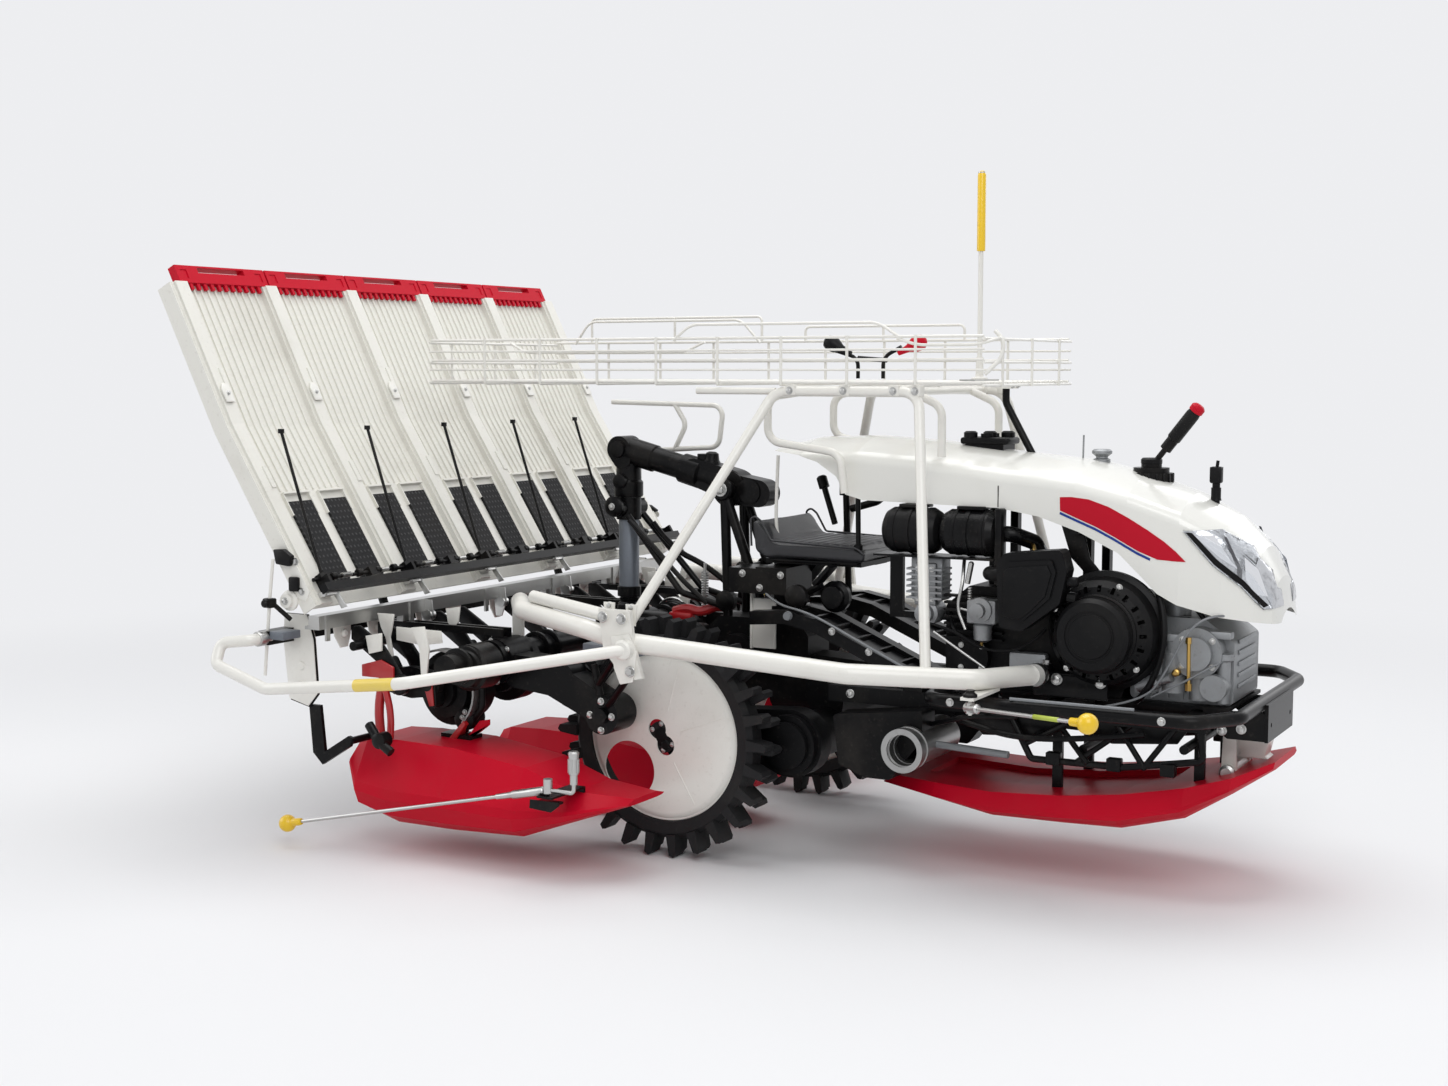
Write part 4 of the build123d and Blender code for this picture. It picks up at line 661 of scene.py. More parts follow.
def make_hood():
    """Stripe, painted shadow line of the seam, lamps, caps and lever grips of the hood."""
    red_top = [(934, 913), (962, 914.5), (1004, 910), (1052, 894), (1099, 870), (1143, 844),
        (1181, 819), (1208, 797), (1230, 775)]
    red_low = [(1206, 775.5), (1166, 778), (1120, 796), (1065, 826), (1020, 848), (985, 862),
        (935, 882)]
    blue_top = [(935, 879), (985, 859), (1020, 845), (1065, 823), (1120, 793), (1150, 780)]
    blue = blue_top + [(x - 1, z - 5.5) for x, z in reversed(blue_top)]
    for side, sign in SIDES:
        fit(f"hood_stripe_{side}", [on_hood(red_top + red_low, sign, 0.4)], "hood_white",
            material="stripe_red")
        fit(f"hood_line_{side}", [on_hood(blue, sign, 0.4)], "hood_white", material="stripe_blue")
        fit(f"lamp_edge_{side}", [
            on_hood([(1228, 843), (1292, 772), (1353, 725), (1398, 677), (1406, 682), (1357, 737),
                (1297, 785), (1243, 842)], sign, 5.1)], "black_plastic")
        fit(f"lamp_bowls_{side}", [
            on_hood([(1248, 835), (1292, 838), (1336, 768), (1304, 788)], sign, 3.2),
            *[on_hood([(x, z), (x + 4, z), (x + 34, z - 32), (x + 30, z - 32)], sign, 3.8)
                for x, z in zip(range(1262, 1322, 12), range(832, 787, -9))],
            on_hood([(1356, 790), (1384, 764), (1404, 702), (1380, 706), (1360, 740)], sign, 3.4,
                0.8)], "clear_plastic", material="reflector")
        fit(f"lamp_dividers_{side}", [
            on_hood([(1312, 836), (1318, 835), (1352, 760), (1352, 728), (1343, 738), (1341, 766)],
                sign, 4)], "clear_plastic", material="lamp_dark")
    backing = CAD_NODES["headlamps"].copy()
    backing.data = backing.data.copy()
    bpy.context.scene.collection.objects.link(backing)
    take_up(backing)
    edit_all()
    bpy.ops.mesh.remove_doubles(threshold=0.02 * MM)
    bpy.ops.mesh.normals_make_consistent(inside=False)
    bpy.ops.transform.shrink_fatten(value=-2.2 * MM)
    bpy.ops.object.mode_set(mode="OBJECT")
    fit("lamp_backing", [backing], "clear_plastic", material="lamp_bowl")
    # Black rod along the seam between the hood shells: painted shade standing for the shadow line
    # in the seam's gap.
    fit("hood_seam_shadow_line",
        [rod([at(780, sign * 177.5, 884), at(780, sign * 178.2, 935)], 1.4) for sign in BOTH],
        "black_plastic")
    cap = at(1096, 0, 940)
    fit("fuel_cap", [
        turned(cap, UP, [(45, 22), (48, 25), (57, 25), (61, 21)], 24),
        *[turned(cap + 50.5 * MM * Vector((math.cos(turn), math.sin(turn), 0)), UP,
            [(0, 3), (24, 3), (26, 2)], 6) for turn in even_turns(18)]], "black_plastic")
    lever_foot, lever_tip = at(1130, -5, 1022), at(1206, -14, 1118)
    fit("lever_grip", [
        turned(at(1148, -7, 1045), lever_tip - lever_foot,
            [(0, 14.5), (3, 16.5), (75, 16.5), (83, 15)], 20)], "black_plastic")
    fit("lever_grip_end", [
        turned(lever_tip, lever_tip - lever_foot,
            [(-9, 14.5), (-8, 17.2), (4, 17.2), (9, 12), (11, 4)], 20)], "red_plastic")
    fit("front_post_knob", [
        turned(at(1250, 0, 905), UP, [(0, 13), (6, 11.5), (30, 11.5)], 16),
        box_between(at(1236, -13, 945), at(1264, 11, 984), 5),
        rod([at(1250, 0, 975), at(1253, 0, 998)], 4)], "black_plastic")
    fit("hood_vent", [
        turned(at(975, 0, 985), UP,
            [(0, 20), (10, 20), (13, 14), (16, 14), (24, 24), (30, 24), (34, 19)], 20),
        rod([at(928, 0, 990), at(929, 0, 1052)], 2.2)], "engine_grey")
    fit("switch_cluster", [
        box_between(at(628, -46, 1026), at(752, 46, 1043), 6),
        *[turned(at(x, y, 1040), UP, [(0, 17), (14, 17), (18, 12)], 16)
            for x, y in ((650, -28), (690, 0), (728, 24))]], "black_plastic")


def make_engine():
    """Covers' bolts, castings, pipes, cables and mounts around the engine."""
    fan = at(1045, 0, 605)
    fit("fan_bolts", bolts(around(fan, 116, -211.5, (68, 155, 228, 318)), RIGHT, 5.2), "zinc")
    fit("fan_cover_rings", [
        turned(fan, RIGHT, [(235.5, 89.5), (243, 91.5), (247, 89.5)], 48),
        turned(fan, RIGHT, [(286, 52), (289.5, 50), (290.5, 30)], 40),
        *[turned(spot, RIGHT, [(0, 2.2), (6, 2.2)], 6)
            for spot in around(fan, 103.5, -222, [index * 360 / 28 for index in range(28)])]],
        "black_plastic")
    fit("air_cleaner_cover", [
        side_slab([(838, 640), (880, 634), (906, 656), (940, 692), (954, 744), (944, 764),
            (850, 754), (840, 742)], -292.5, -295.5, 1.2),
        rod([at(985, -262, 690), at(1005, -262, 688)], 13, resolution=3),
        turned(at(984, -262, 725), FORWARD, [(0, 12), (20, 12), (24, 8)], 16)], "black_plastic")
    fit("engine_castings", [
        box_between(at(556, -176, 650), at(640, -120, 756), 6),
        box_between(at(570, -186, 640), at(626, -170, 742), 4),
        turned(at(600, -120, 620), RIGHT, [(0, 30), (60, 30), (64, 22), (82, 22), (85, 12)], 20),
        box_between(at(716, -212, 606), at(790, -150, 664), 6),
        turned(at(752, -196, 640), RIGHT, [(0, 30), (24, 30), (28, 18), (44, 18), (47, 8)], 20),
        turned(at(748, -184, 560), UP, [(0, 10), (6, 21), (40, 23), (48, 18)], 20),
        box_between(at(812, -178, 470), at(904, -150, 540), 6),
        *[box_between(at(552, -192, z), at(644, -126, z + 5)) for z in range(655, 739, 14)]],
        "engine_grey")
    fit("gear_case_fittings", [
        turned(at(1196, -130, 470), UP, [(0, 30), (90, 30), (96, 24), (118, 24), (122, 16)], 20),
        turned(at(1256, -128, 456), UP, [(0, 24), (70, 24), (76, 30), (88, 30)], 20),
        turned(at(1310, -130, 452), UP, [(0, 16), (96, 16), (100, 22), (114, 22), (117, 15)], 16),
        box_between(at(1150, -150, 556), at(1214, -112, 606), 6),
        box_between(at(1220, -150, 600), at(1330, -118, 618), 4),
        turned(at(1120, -150, 480), (1, -0.25, 0.35), [(0, 16), (50, 18), (56, 12), (90, 11)], 16)],
        "engine_grey")
    fit("brass_fittings", [
        rod([at(1241, -176, 604), at(1243, -176, 486)], 4.5),
        turned(at(1241, -176, 590), UP, [(0, 7.5), (14, 7.5)], 6),
        turned(at(1243, -176, 482), UP, [(0, 8), (16, 8)], 6),
        turned(at(745, -184, 548), UP, [(0, 5), (14, 6)], 8),
        rod([at(830, -90, 800), at(862, -150, 790), at(862, -160, 760)], 5, 20),
        turned(at(1212, -156, 520), RIGHT, [(0, 9), (18, 9), (21, 5)], 8)], "zinc",
        material="brass")
    fit("rubber_hoses", [
        pipe([at(1130, -130, 745), at(1170, -165, 700), at(1190, -190, 630), at(1186, -192, 560),
            at(1150, -185, 470), at(1120, -170, 446)], 7.5),
        pipe([at(640, -110, 640), at(664, -190, 600), at(700, -200, 566), at(744, -190, 556)], 4.5),
        pipe([at(1090, -120, 760), at(1150, -140, 742), at(1220, -130, 700), at(1262, -125, 640)],
            6),
        pipe([at(600, -196, 600), at(680, -212, 592), at(760, -205, 540), at(860, -190, 548),
            at(900, -170, 600)], 3.5)], "black_plastic")
    fit("control_wires", [
        pipe([at(1322, -150, 655), at(1290, -186, 660), at(1240, -196, 618), at(1195, -202, 520),
            at(1150, -200, 456), at(1060, -214, 436)], 2.8),
        pipe([at(1330, -120, 560), at(1300, -176, 545), at(1240, -186, 505), at(1160, -186, 462)],
            2.4),
        pipe([at(905, -200, 800), at(925, -240, 790), at(985, -245, 745)], 1.8)], "zinc",
        material="grey_wire")
    fit("throttle_links", [
        rod([at(690, -160, 760), at(700, -196, 700), at(688, -200, 640), at(712, -204, 590)], 4.5,
            20),
        rod([at(700, -205, 640), at(770, -212, 628)], 3),
        turned(at(712, -196, 700), (0.2, 0, 1), [(0, 7), (50, 7), (54, 4)], 12),
        rod([at(630, -205, 580), at(760, -200, 500)], 3.5),
        *[turned(at(722, -204, z), UP, [(0, 5.2), (3, 5.2)], 10) for z in range(640, 694, 6)]],
        "zinc")
    fit("engine_mount_plate", [
        side_slab([(882, 500), (882, 448), (1062, 446), (1062, 500)], -196, -202, 1.5),
        box_between(at(882, -202, 496), at(1062, -150, 502), 1),
        *[turned(at(x, -176, 500), UP, [(0, 16), (12, 18), (18, 12)], 16) for x in (905, 1040)]],
        "black_paint")
    fit("engine_bolts",
        bolts([at(940, -202, 488), at(1046, -202, 488)], RIGHT, 9)
        + bolts([at(905, -176, 518), at(1040, -176, 518)], UP, 8)
        + bolts([at(x, -186, z) for x in (580, 616) for z in (655, 728)], RIGHT, 4.5)
        + bolts([*[at(x, -158, z) for x in (1222, 1290) for z in (536, 596)],
            at(1160, -150, 482), at(1160, -150, 528)], RIGHT, 4.8)
        + bolts([at(x, -176, z) for x in (690, 742) for z in (494, 548)], RIGHT, 4.5), "zinc")
    fit("engine_left_cover", [
        side_slab([(720, 480), (720, 640), (780, 682), (1020, 682), (1074, 620), (1074, 480),
            (1040, 456), (760, 456)], 150, 162, 5),
        turned(at(880, 160, 560), LEFT, [(0, 70), (10, 70), (14, 62), (30, 58), (34, 30)], 36),
        turned(at(980, 160, 620), LEFT, [(0, 30), (12, 30), (16, 20)], 24)], "cast_black")
    fit("gear_case_left_cover", [
        side_slab([(1112, 462), (1112, 600), (1150, 630), (1290, 622), (1318, 590), (1318, 470),
            (1290, 452), (1140, 452)], 116, 126, 4),
        turned(at(1200, 125, 545), LEFT, [(0, 52), (10, 52), (14, 44), (28, 40), (32, 20)], 32),
        turned(at(1280, 125, 500), LEFT, [(0, 26), (14, 26), (18, 16)], 20),
        *[box_between(at(1330, -80, z), at(1334.5, 80, z + 10), 1) for z in range(480, 610, 26)]],
        "engine_grey")
    cover_edge = ((738, 500), (738, 630), (800, 668), (1000, 668), (1056, 610), (1056, 500),
        (900, 472))
    case_edge = ((1126, 476), (1126, 592), (1160, 616), (1280, 610), (1306, 580), (1306, 480),
        (1210, 462))
    fit("engine_left_bolts",
        bolts([at(x, 162, z) for x, z in cover_edge], LEFT, 5.5)
        + bolts([at(x, 126, z) for x, z in case_edge], LEFT, 5), "zinc")
    fit("canister_bands", [
        turned(at(x, -165, 820), FORWARD, [(0, 56.6), (7, 56.6)], 40)
        for x in (520, 604, 676, 748)], "black_plastic")
    fit("hood_hangers", [
        box_between(at(530, -190, 876), at(600, -140, 884), 2),
        box_between(at(680, -190, 876), at(750, -140, 884), 2),
        box_between(at(782, -206, 700), at(800, -170, 882), 4),
        side_slab([(930, 846), (985, 830), (1000, 770), (1030, 735), (990, 735), (955, 770)], -150,
            -158, 1)], "black_paint")
    outlet = at(612, 0, 311)
    fit("side_outlet", [
        tube(outlet, RIGHT, [(100, 48), (300, 48), (301, 52), (312, 52), (313, 49), (326, 49),
            (327, 53), (350, 53)], 14, 40)], "zinc", material="bare_steel")
    # Black disc deep inside the outlet tube: painted shade standing for the dark inside of its
    # bore.
    fit("side_outlet_bore_shade", [turned(outlet, RIGHT, [(150, 39), (170, 39)], 32)], "black_paint")


def make_front():
    """Bolts, plates and links round the front guard tube, and the front float's hangers."""
    fit("float_pin_link", [
        *[side_slab([(1296, 372), (1326, 372), (1330, 268), (1306, 262), (1293, 280)], sign * 56,
            sign * 64, 1) for sign in BOTH],
        turned(at(1312, 0, 283), RIGHT, [(-82, 16), (82, 16)], 20)], "white_paint")
    fit("float_pin_ends",
        [turned(at(1312, sign * 80, 283), (0, sign, 0), [(0, 18), (10, 18), (13, 12), (18, 12)], 20)
            for sign in BOTH]
        + side_bolts([(1352, 125, 395), (1308, 125, 388)], 7.5), "zinc")
    fit("front_foot", [
        side_slab([(1318, 357), (1392, 357), (1392, 350), (1384, 318), (1392, 312), (1322, 312),
            (1330, 320)], -30, 30, 1.5)], "white_paint")
    fit("rail_bolts",
        side_bolts([(x, 226, 414) for x in (420, 700, 860, 1020, 1180)], 7)
        + side_bolts([(1250, 416, 451), (760, 416, 451)], 6), "zinc")
    fit("guard_stays", [
        rod([at(870, -236, 433), at(905, -410, 470)], 4),
        rod([at(905, -418, 472), at(1190, -418, 472)], 3.5),
        rod([at(560, -246, 318), at(840, -246, 306)], 9)], "zinc", material="grey_wire")
    clips = []
    for sign in BOTH:
        for x in (930, 1075, 1200):
            clips.append(box_between(at(x, sign * 222, 292), at(x + 34, sign * 246, 322), 3))
        clips += [
            rod([at(870, sign * 222, 330), at(980, sign * 236, 392)], 6),
            rod([at(640, sign * 236, 360), at(760, sign * 300, 400), at(880, sign * 300, 410)], 6,
                30),
            side_slab([(700, 398), (960, 398), (930, 350), (760, 340)], sign * 200, sign * 206, 1),
            side_slab([(640, 402), (1250, 402), (1215, 352), (1060, 338), (1000, 362), (880, 364),
                (800, 338), (690, 350)], sign * 150, sign * 156, 1.5),
            rod([at(1000, sign * 236, 302), at(1120, sign * 190, 396)], 7),
            rod([at(930, sign * 190, 396), at(1030, sign * 240, 304)], 7),
            pipe([at(700, sign * 250, 384), at(800, sign * 262, 360), at(900, sign * 250, 350),
                at(1040, sign * 258, 366), at(1160, sign * 236, 384)], 7)]
    for x, z in ((906, 352), (1010, 330), (1246, 352)):
        clips.append(rod([at(x, -215, z), at(x, 215, z)], 11))
    fit("link_clips", clips, "black_paint")


def make_tray_fittings():
    """Clamps, levers, latches and side bracket that ride on the seedling tray."""
    bar_x, bar_z = -743.5, 695.2
    zinc, black, white = [], [], []
    for y in LANE_EDGES:
        zinc += [
            side_slab([(-722, 668), (-704, 664), (-672, 628), (-690, 622)], y + 12, y + 16, 0.8),
            side_slab([(-738, 660), (-706, 668), (-700, 658), (-732, 648)], y - 20, y + 20, 1),
            turned(at(-712, y, 660), LEFT, [(-26, 6), (26, 6)], 12)]
    for y in ROWS:
        for shift in (-118, -20, 50, 118):
            black.append(
                turned(at(bar_x, y + shift, bar_z), LEFT, [(-8, 8), (-6, 10.5), (6, 10.5), (8, 8)],
                    12))
        zinc.append(turned(at(bar_x, y + 80, bar_z), LEFT, [(-14, 6), (14, 6)], 10))
        for rib in range(-85, -50, 5):
            zinc.append(turned(at(bar_x, y + rib, bar_z), LEFT, [(0, 6.8), (2.5, 6.8)], 10))
    fit("press_clamps", black, "black_paint", body="tray")
    fit("press_levers", zinc, "zinc", body="tray")
    for sign in BOTH:
        y = sign * 858
        white += [
            side_slab([(-832, 742), (-800, 748), (-748, 664), (-760, 640), (-790, 648),
                (-826, 700)], y, y + sign * 4, 1),
            turned(at(-812, y, 640), (0, sign, 0), [(0, 26), (6, 26), (10, 18), (20, 18)], 20)]
    fit("tray_side_brackets", white, "white_paint", body="tray")
    clips, pegs = [], []
    bend, head = Vector((-1022, 0, 1062)), Vector((-1205, 0, 1424))
    rise = (head - bend).normalized()
    out = Vector((rise.z, 0, -rise.x))
    for y in LANE_EDGES:
        foot = bend + rise * 60 + out * 24
        corners = [foot + rise * along + Vector((0, y + across, 0))
            for along, across in ((0, -14), (0, 14), (36, 17), (52, 8), (52, -8), (36, -17))]
        clips.append(slab([at(*corner) for corner in corners], out * 5, 1.5))
        pegs += bolts([at(*foot + rise * 24 + Vector((0, y, 0)) + out * 5)], out, 4)
    fit("tray_lane_clips", clips, "white_paint", body="tray")
    fit("tray_lane_pegs", pegs, "zinc", body="tray")
    latch = []
    for sign in BOTH:
        y = sign * 862
        latch += [
            side_slab([(-850, 766), (-818, 768), (-792, 752), (-800, 726), (-842, 730)], y,
                y + sign * 16, 3),
            box_between(at(-806, y, 664), at(-776, y + sign * 12, 700), 4)]
    fit("tray_latches", latch, "black_plastic", body="tray")
    fit("tray_bracket_bolts", side_bolts([(-790, 862, 738), (-772, 862, 664), (-812, 878, 640)], 6),
        "zinc", body="tray")


def make_guard_fittings():
    """End sleeves, labels, plates, bolts and rods of the guards and the side tubes."""
    sleeves, plates, whites = [], [], []
    for sign in BOTH:
        sleeves.append(
            turned(at(-860, 0, 548), (0, sign, 0), [(892, 18.5), (928, 18.5), (931, 16.5)], 24))
        plates += [
            box_between(at(-846, sign * 838, 545), at(-800, sign * 902, 565), 2),
            slab([at(-160, sign * 540, 538), at(10, sign * 560, 536), at(10, sign * 500, 536),
                at(-160, sign * 470, 538)], (0, 0, -18), 2)]
        for x, z in ((-50, 640), (12, 638)):
            whites.append(
                side_slab([(x - 16, z + 12), (x + 16, z + 12), (x + 12, z - 40), (x - 12, z - 40)],
                    sign * 586.5, sign * 590.5, 1))
        whites += [
            side_slab([(-20, 575), (30, 585), (52, 540), (40, 470), (5, 462), (-12, 500)],
                sign * 626.5, sign * 631, 1.2),
            turned(at(22, 0, 548), (0, sign, 0), [(626, 24), (650, 24), (654, 19)], 24)]
    fit("beam_end_sleeves", sleeves, "zinc")
    fit("side_box_plates", plates, "zinc", material="grey_plate")
    fit("knuckle_plates", whites, "white_paint")
    fit("knuckle_bolts",
        side_bolts([(-860, 931, 548)], 8)
        + side_bolts([(-40, 634, 622), (12, 634, 620), (36, 634, 496)], 8.5)
        + side_bolts([(-50, 586, 644), (12, 586, 642)], 6), "zinc")
    fit("guard_label", [
        rod([at(-490, sign * 1000, 473.4), at(-376, sign * 1000, 486.2)], 15.1, resolution=6)
        for sign in BOTH], "yellow_plastic", material="label_yellow")
    fit("tube_collars", [
        turned(at(900, sign * 300, 503), (-0.12, sign, 0.02),
            [(-66, 26.2), (-52, 27.5), (-46, 26.2)], 28) for sign in BOTH], "zinc")
    fit("gauge_rod",
        [rod([at(-838, -890, 744), at(-852, -890, 640), at(-872, -890, 452)], 4.2, 20)],
        "white_paint")
    fit("gauge_rod_clamp", [
        box_between(at(-868, -900, 622), at(-840, -876, 646), 4),
        turned(at(-854, -888, 634), RIGHT, [(0, 10), (20, 10), (24, 6)], 14),
        rod([at(-852, -882, 634), at(-820, -850, 590)], 6)], "black_paint")


def make_planting():
    """Claws, links, end covers, strap rings and pipes of the planting section."""
    case_x, case_z = -539, 401
    claw_x, claw_z = -590, 425
    cover = []
    for sign in BOTH:
        outline = [(-873, 599), (-878, 530), (-862, 384), (-801, 369), (-772, 401), (-781, 538),
            (-801, 599)]
        cover += [
            side_slab(outline, sign * 812.2, sign * 815, 0.8),
            side_slab(outline, sign * 805.8, sign * 803, 0.8)]
        for z in (420, 470):
            cover.append(turned(at(-820, sign * 815, z), (0, sign, 0), [(0, 12), (4, 10)], 16))
    fit("end_covers", cover, "white_paint")
    claws = []
    for y in ROWS:
        for shift in (-18.9, 18.9):
            for end in BOTH:
                x = claw_x + end * 56
                claws.append(
                    side_slab([(x - 16, claw_z + end * 18), (x + 16, claw_z + end * 18),
                        (x + end * 14 + 8, claw_z - end * 52),
                        (x + end * 14 - 6, claw_z - end * 54)], y + shift - 2, y + shift + 2, 0.8))
    fit("planting_claws", claws, "red_plastic", body="planting_shaft", material="claw_red")
    rings, links, ribs, straps, drums = [], [], [], [], []
    turns = [math.radians(angle) for angle in range(112, -51, -9)]
    band = [(case_x + radius * math.cos(turn), case_z + radius * math.sin(turn))
        for radius, arc in ((104, turns), (99, turns[::-1])) for turn in arc]
    for sign in BOTH:
        rings += [
            side_slab(band, sign * 582, sign * 618),
            tube(at(-470, sign * 430, 470), (0, sign, 0),
                [(-10, 60), (-7, 62.5), (7, 62.5), (10, 60)], 4, 40)]
        rings += bolts([at(-462, sign * 619, 352), at(-470, sign * 619, 338)], (0, sign, 0), 4.5)
        straps.append(
            side_slab([(-467, 330), (-461, 320), (-516, 246), (-556, 246), (-540, 252)], sign * 580,
                sign * 620, 1))
        drums += [
            turned(at(case_x, sign * 560, case_z), (0, sign, 0), [(-62, 70), (-58, 88), (-10, 88),
                (-6, 96), (14, 96), (18, 76), (44, 72), (48, 46), (62, 44), (66, 24)], 40),
            turned(at(-480, sign * 580, 330), (0, sign, 0), [(-30, 30), (20, 30), (26, 20)], 24),
            turned(at(-460, sign * 440, 440), (0, sign, 0),
                [(-50, 70), (-46, 84), (10, 84), (16, 60), (40, 56), (44, 40)], 36)]
        for y in (470, 500, 650, 690, 300, 350):
            ribs.append(
                turned(at(-430, sign * y, 480), (0, sign, 0),
                    [(-6, 40), (-4, 46), (4, 46), (6, 40)], 28))
        links += [
            side_slab([(-560, 570), (-520, 575), (-505, 520), (-515, 440), (-530, 440),
                (-535, 520)], sign * 700, sign * 706, 1),
            side_slab([(-680, 545), (-630, 555), (-630, 510), (-670, 500)], sign * 730, sign * 736,
                1)]
    fit("case_strap_rings", rings, "zinc", material="bare_steel")
    fit("case_strap_feet", straps, "red_plastic", material="claw_red")
    fit("planting_drums", drums, "cast_black")
    for sign in BOTH:
        ribs += [
            turned(at(-430, sign * 600, 470), (0, sign, 0),
                [(-30, 52), (-26, 58), (44, 58), (50, 50), (66, 46), (72, 30)], 36),
            rod([at(-700, sign * 760, 520), at(-700, sign * 540, 520)], 12),
            rod([at(-640, sign * 775, 330), at(-596, sign * 790, 292), at(-560, sign * 790, 270)],
                12, 20),
            turned(at(-595, sign * 785, 296), (0, sign, 0), [(-20, 20), (12, 20), (16, 12)], 18),
            side_slab([(-470, 520), (-400, 505), (-500, 352), (-585, 360), (-590, 440)], sign * 575,
                sign * 597, 8)]
    for row in ROWS:
        for y in (row - 52, row + 52):
            ribs += [
                side_slab([(-742, 562), (-716, 566), (-640, 520), (-585, 452), (-570, 425),
                    (-585, 400), (-610, 400), (-650, 470), (-742, 530)], y - 5, y + 5, 2),
                turned(at(claw_x, y - 12, claw_z), LEFT, [(0, 22), (4, 26), (20, 26), (24, 22)],
                    20)]
    fit("tube_ribs", ribs, "black_paint")
    fit("planting_links", links, "white_paint")
    posts = []
    for y in LANE_EDGES[1:-1]:
        posts += [
            side_slab([(-745, 602), (-705, 602), (-700, 560), (-716, 520), (-736, 520)], y + 60,
                y + 64, 1),
            turned(at(-716, y + 64, 560), LEFT, [(-10, 14), (12, 14), (16, 8)], 16)]
    gates = []
    for y in ROWS:
        for lane in (-66, 66):
            gates += [
                slab([at(-766, y + lane - 34, 570), at(-766, y + lane + 34, 570),
                    at(-764, y + lane + 30, 540), at(-760, y + lane + 14, 510),
                    at(-760, y + lane - 14, 510), at(-764, y + lane - 30, 540)], (4, 0, 0), 1.2),
                turned(at(-758, y + lane, 546), FORWARD, [(0, 10), (6, 10), (9, 6)], 14)]
    for sign in BOTH:
        gates += [
            side_slab([(-640, 562), (-500, 560), (-496, 530), (-560, 520), (-640, 528)], sign * 660,
                sign * 664, 1),
            side_slab([(-716, 590), (-662, 590), (-670, 552), (-676, 530), (-664, 470), (-676, 470),
                (-692, 530), (-706, 556)], sign * 640, sign * 645, 1),
            side_slab([(-606, 592), (-560, 600), (-566, 560), (-585, 540), (-600, 556)], sign * 500,
                sign * 504, 1)]
    fit("seedling_gates", gates, "white_paint")
    fit("feed_plates", posts, "zinc")
    fit("case_bolts",
        [bolt for sign in BOTH
            for bolt in bolts(around(at(-430, sign * 537, 472), 52, 0, range(40, 400, 60)),
                (0, sign, 0), 5)]
        + bolts([at(-100, -551, 400), at(-100, -551, 328), at(-70, -551, 364), at(-132, -551, 364)],
            RIGHT, 6), "zinc")
    reds = []
    for sign in BOTH:
        reds += [
            rod([at(-662, sign * 704, 288), at(-668, sign * 704, 360), at(-650, sign * 704, 440)],
                12, 30),
            rod([at(-622, sign * 716, 286), at(-618, sign * 716, 350), at(-640, sign * 716, 430)],
                9, 30),
            side_slab([(-700, 470), (-640, 486), (-600, 470), (-600, 440), (-700, 440)], sign * 722,
                sign * 728, 1)]
    fit("claw_guards", reds, "red_plastic", material="claw_red")
    fit("float_straps", [
        side_slab([(-528, 256), (-500, 250), (-430, 330), (-400, 336), (-400, 322), (-430, 300)],
            sign * 596, sign * 602, 1) for sign in BOTH], "red_plastic")


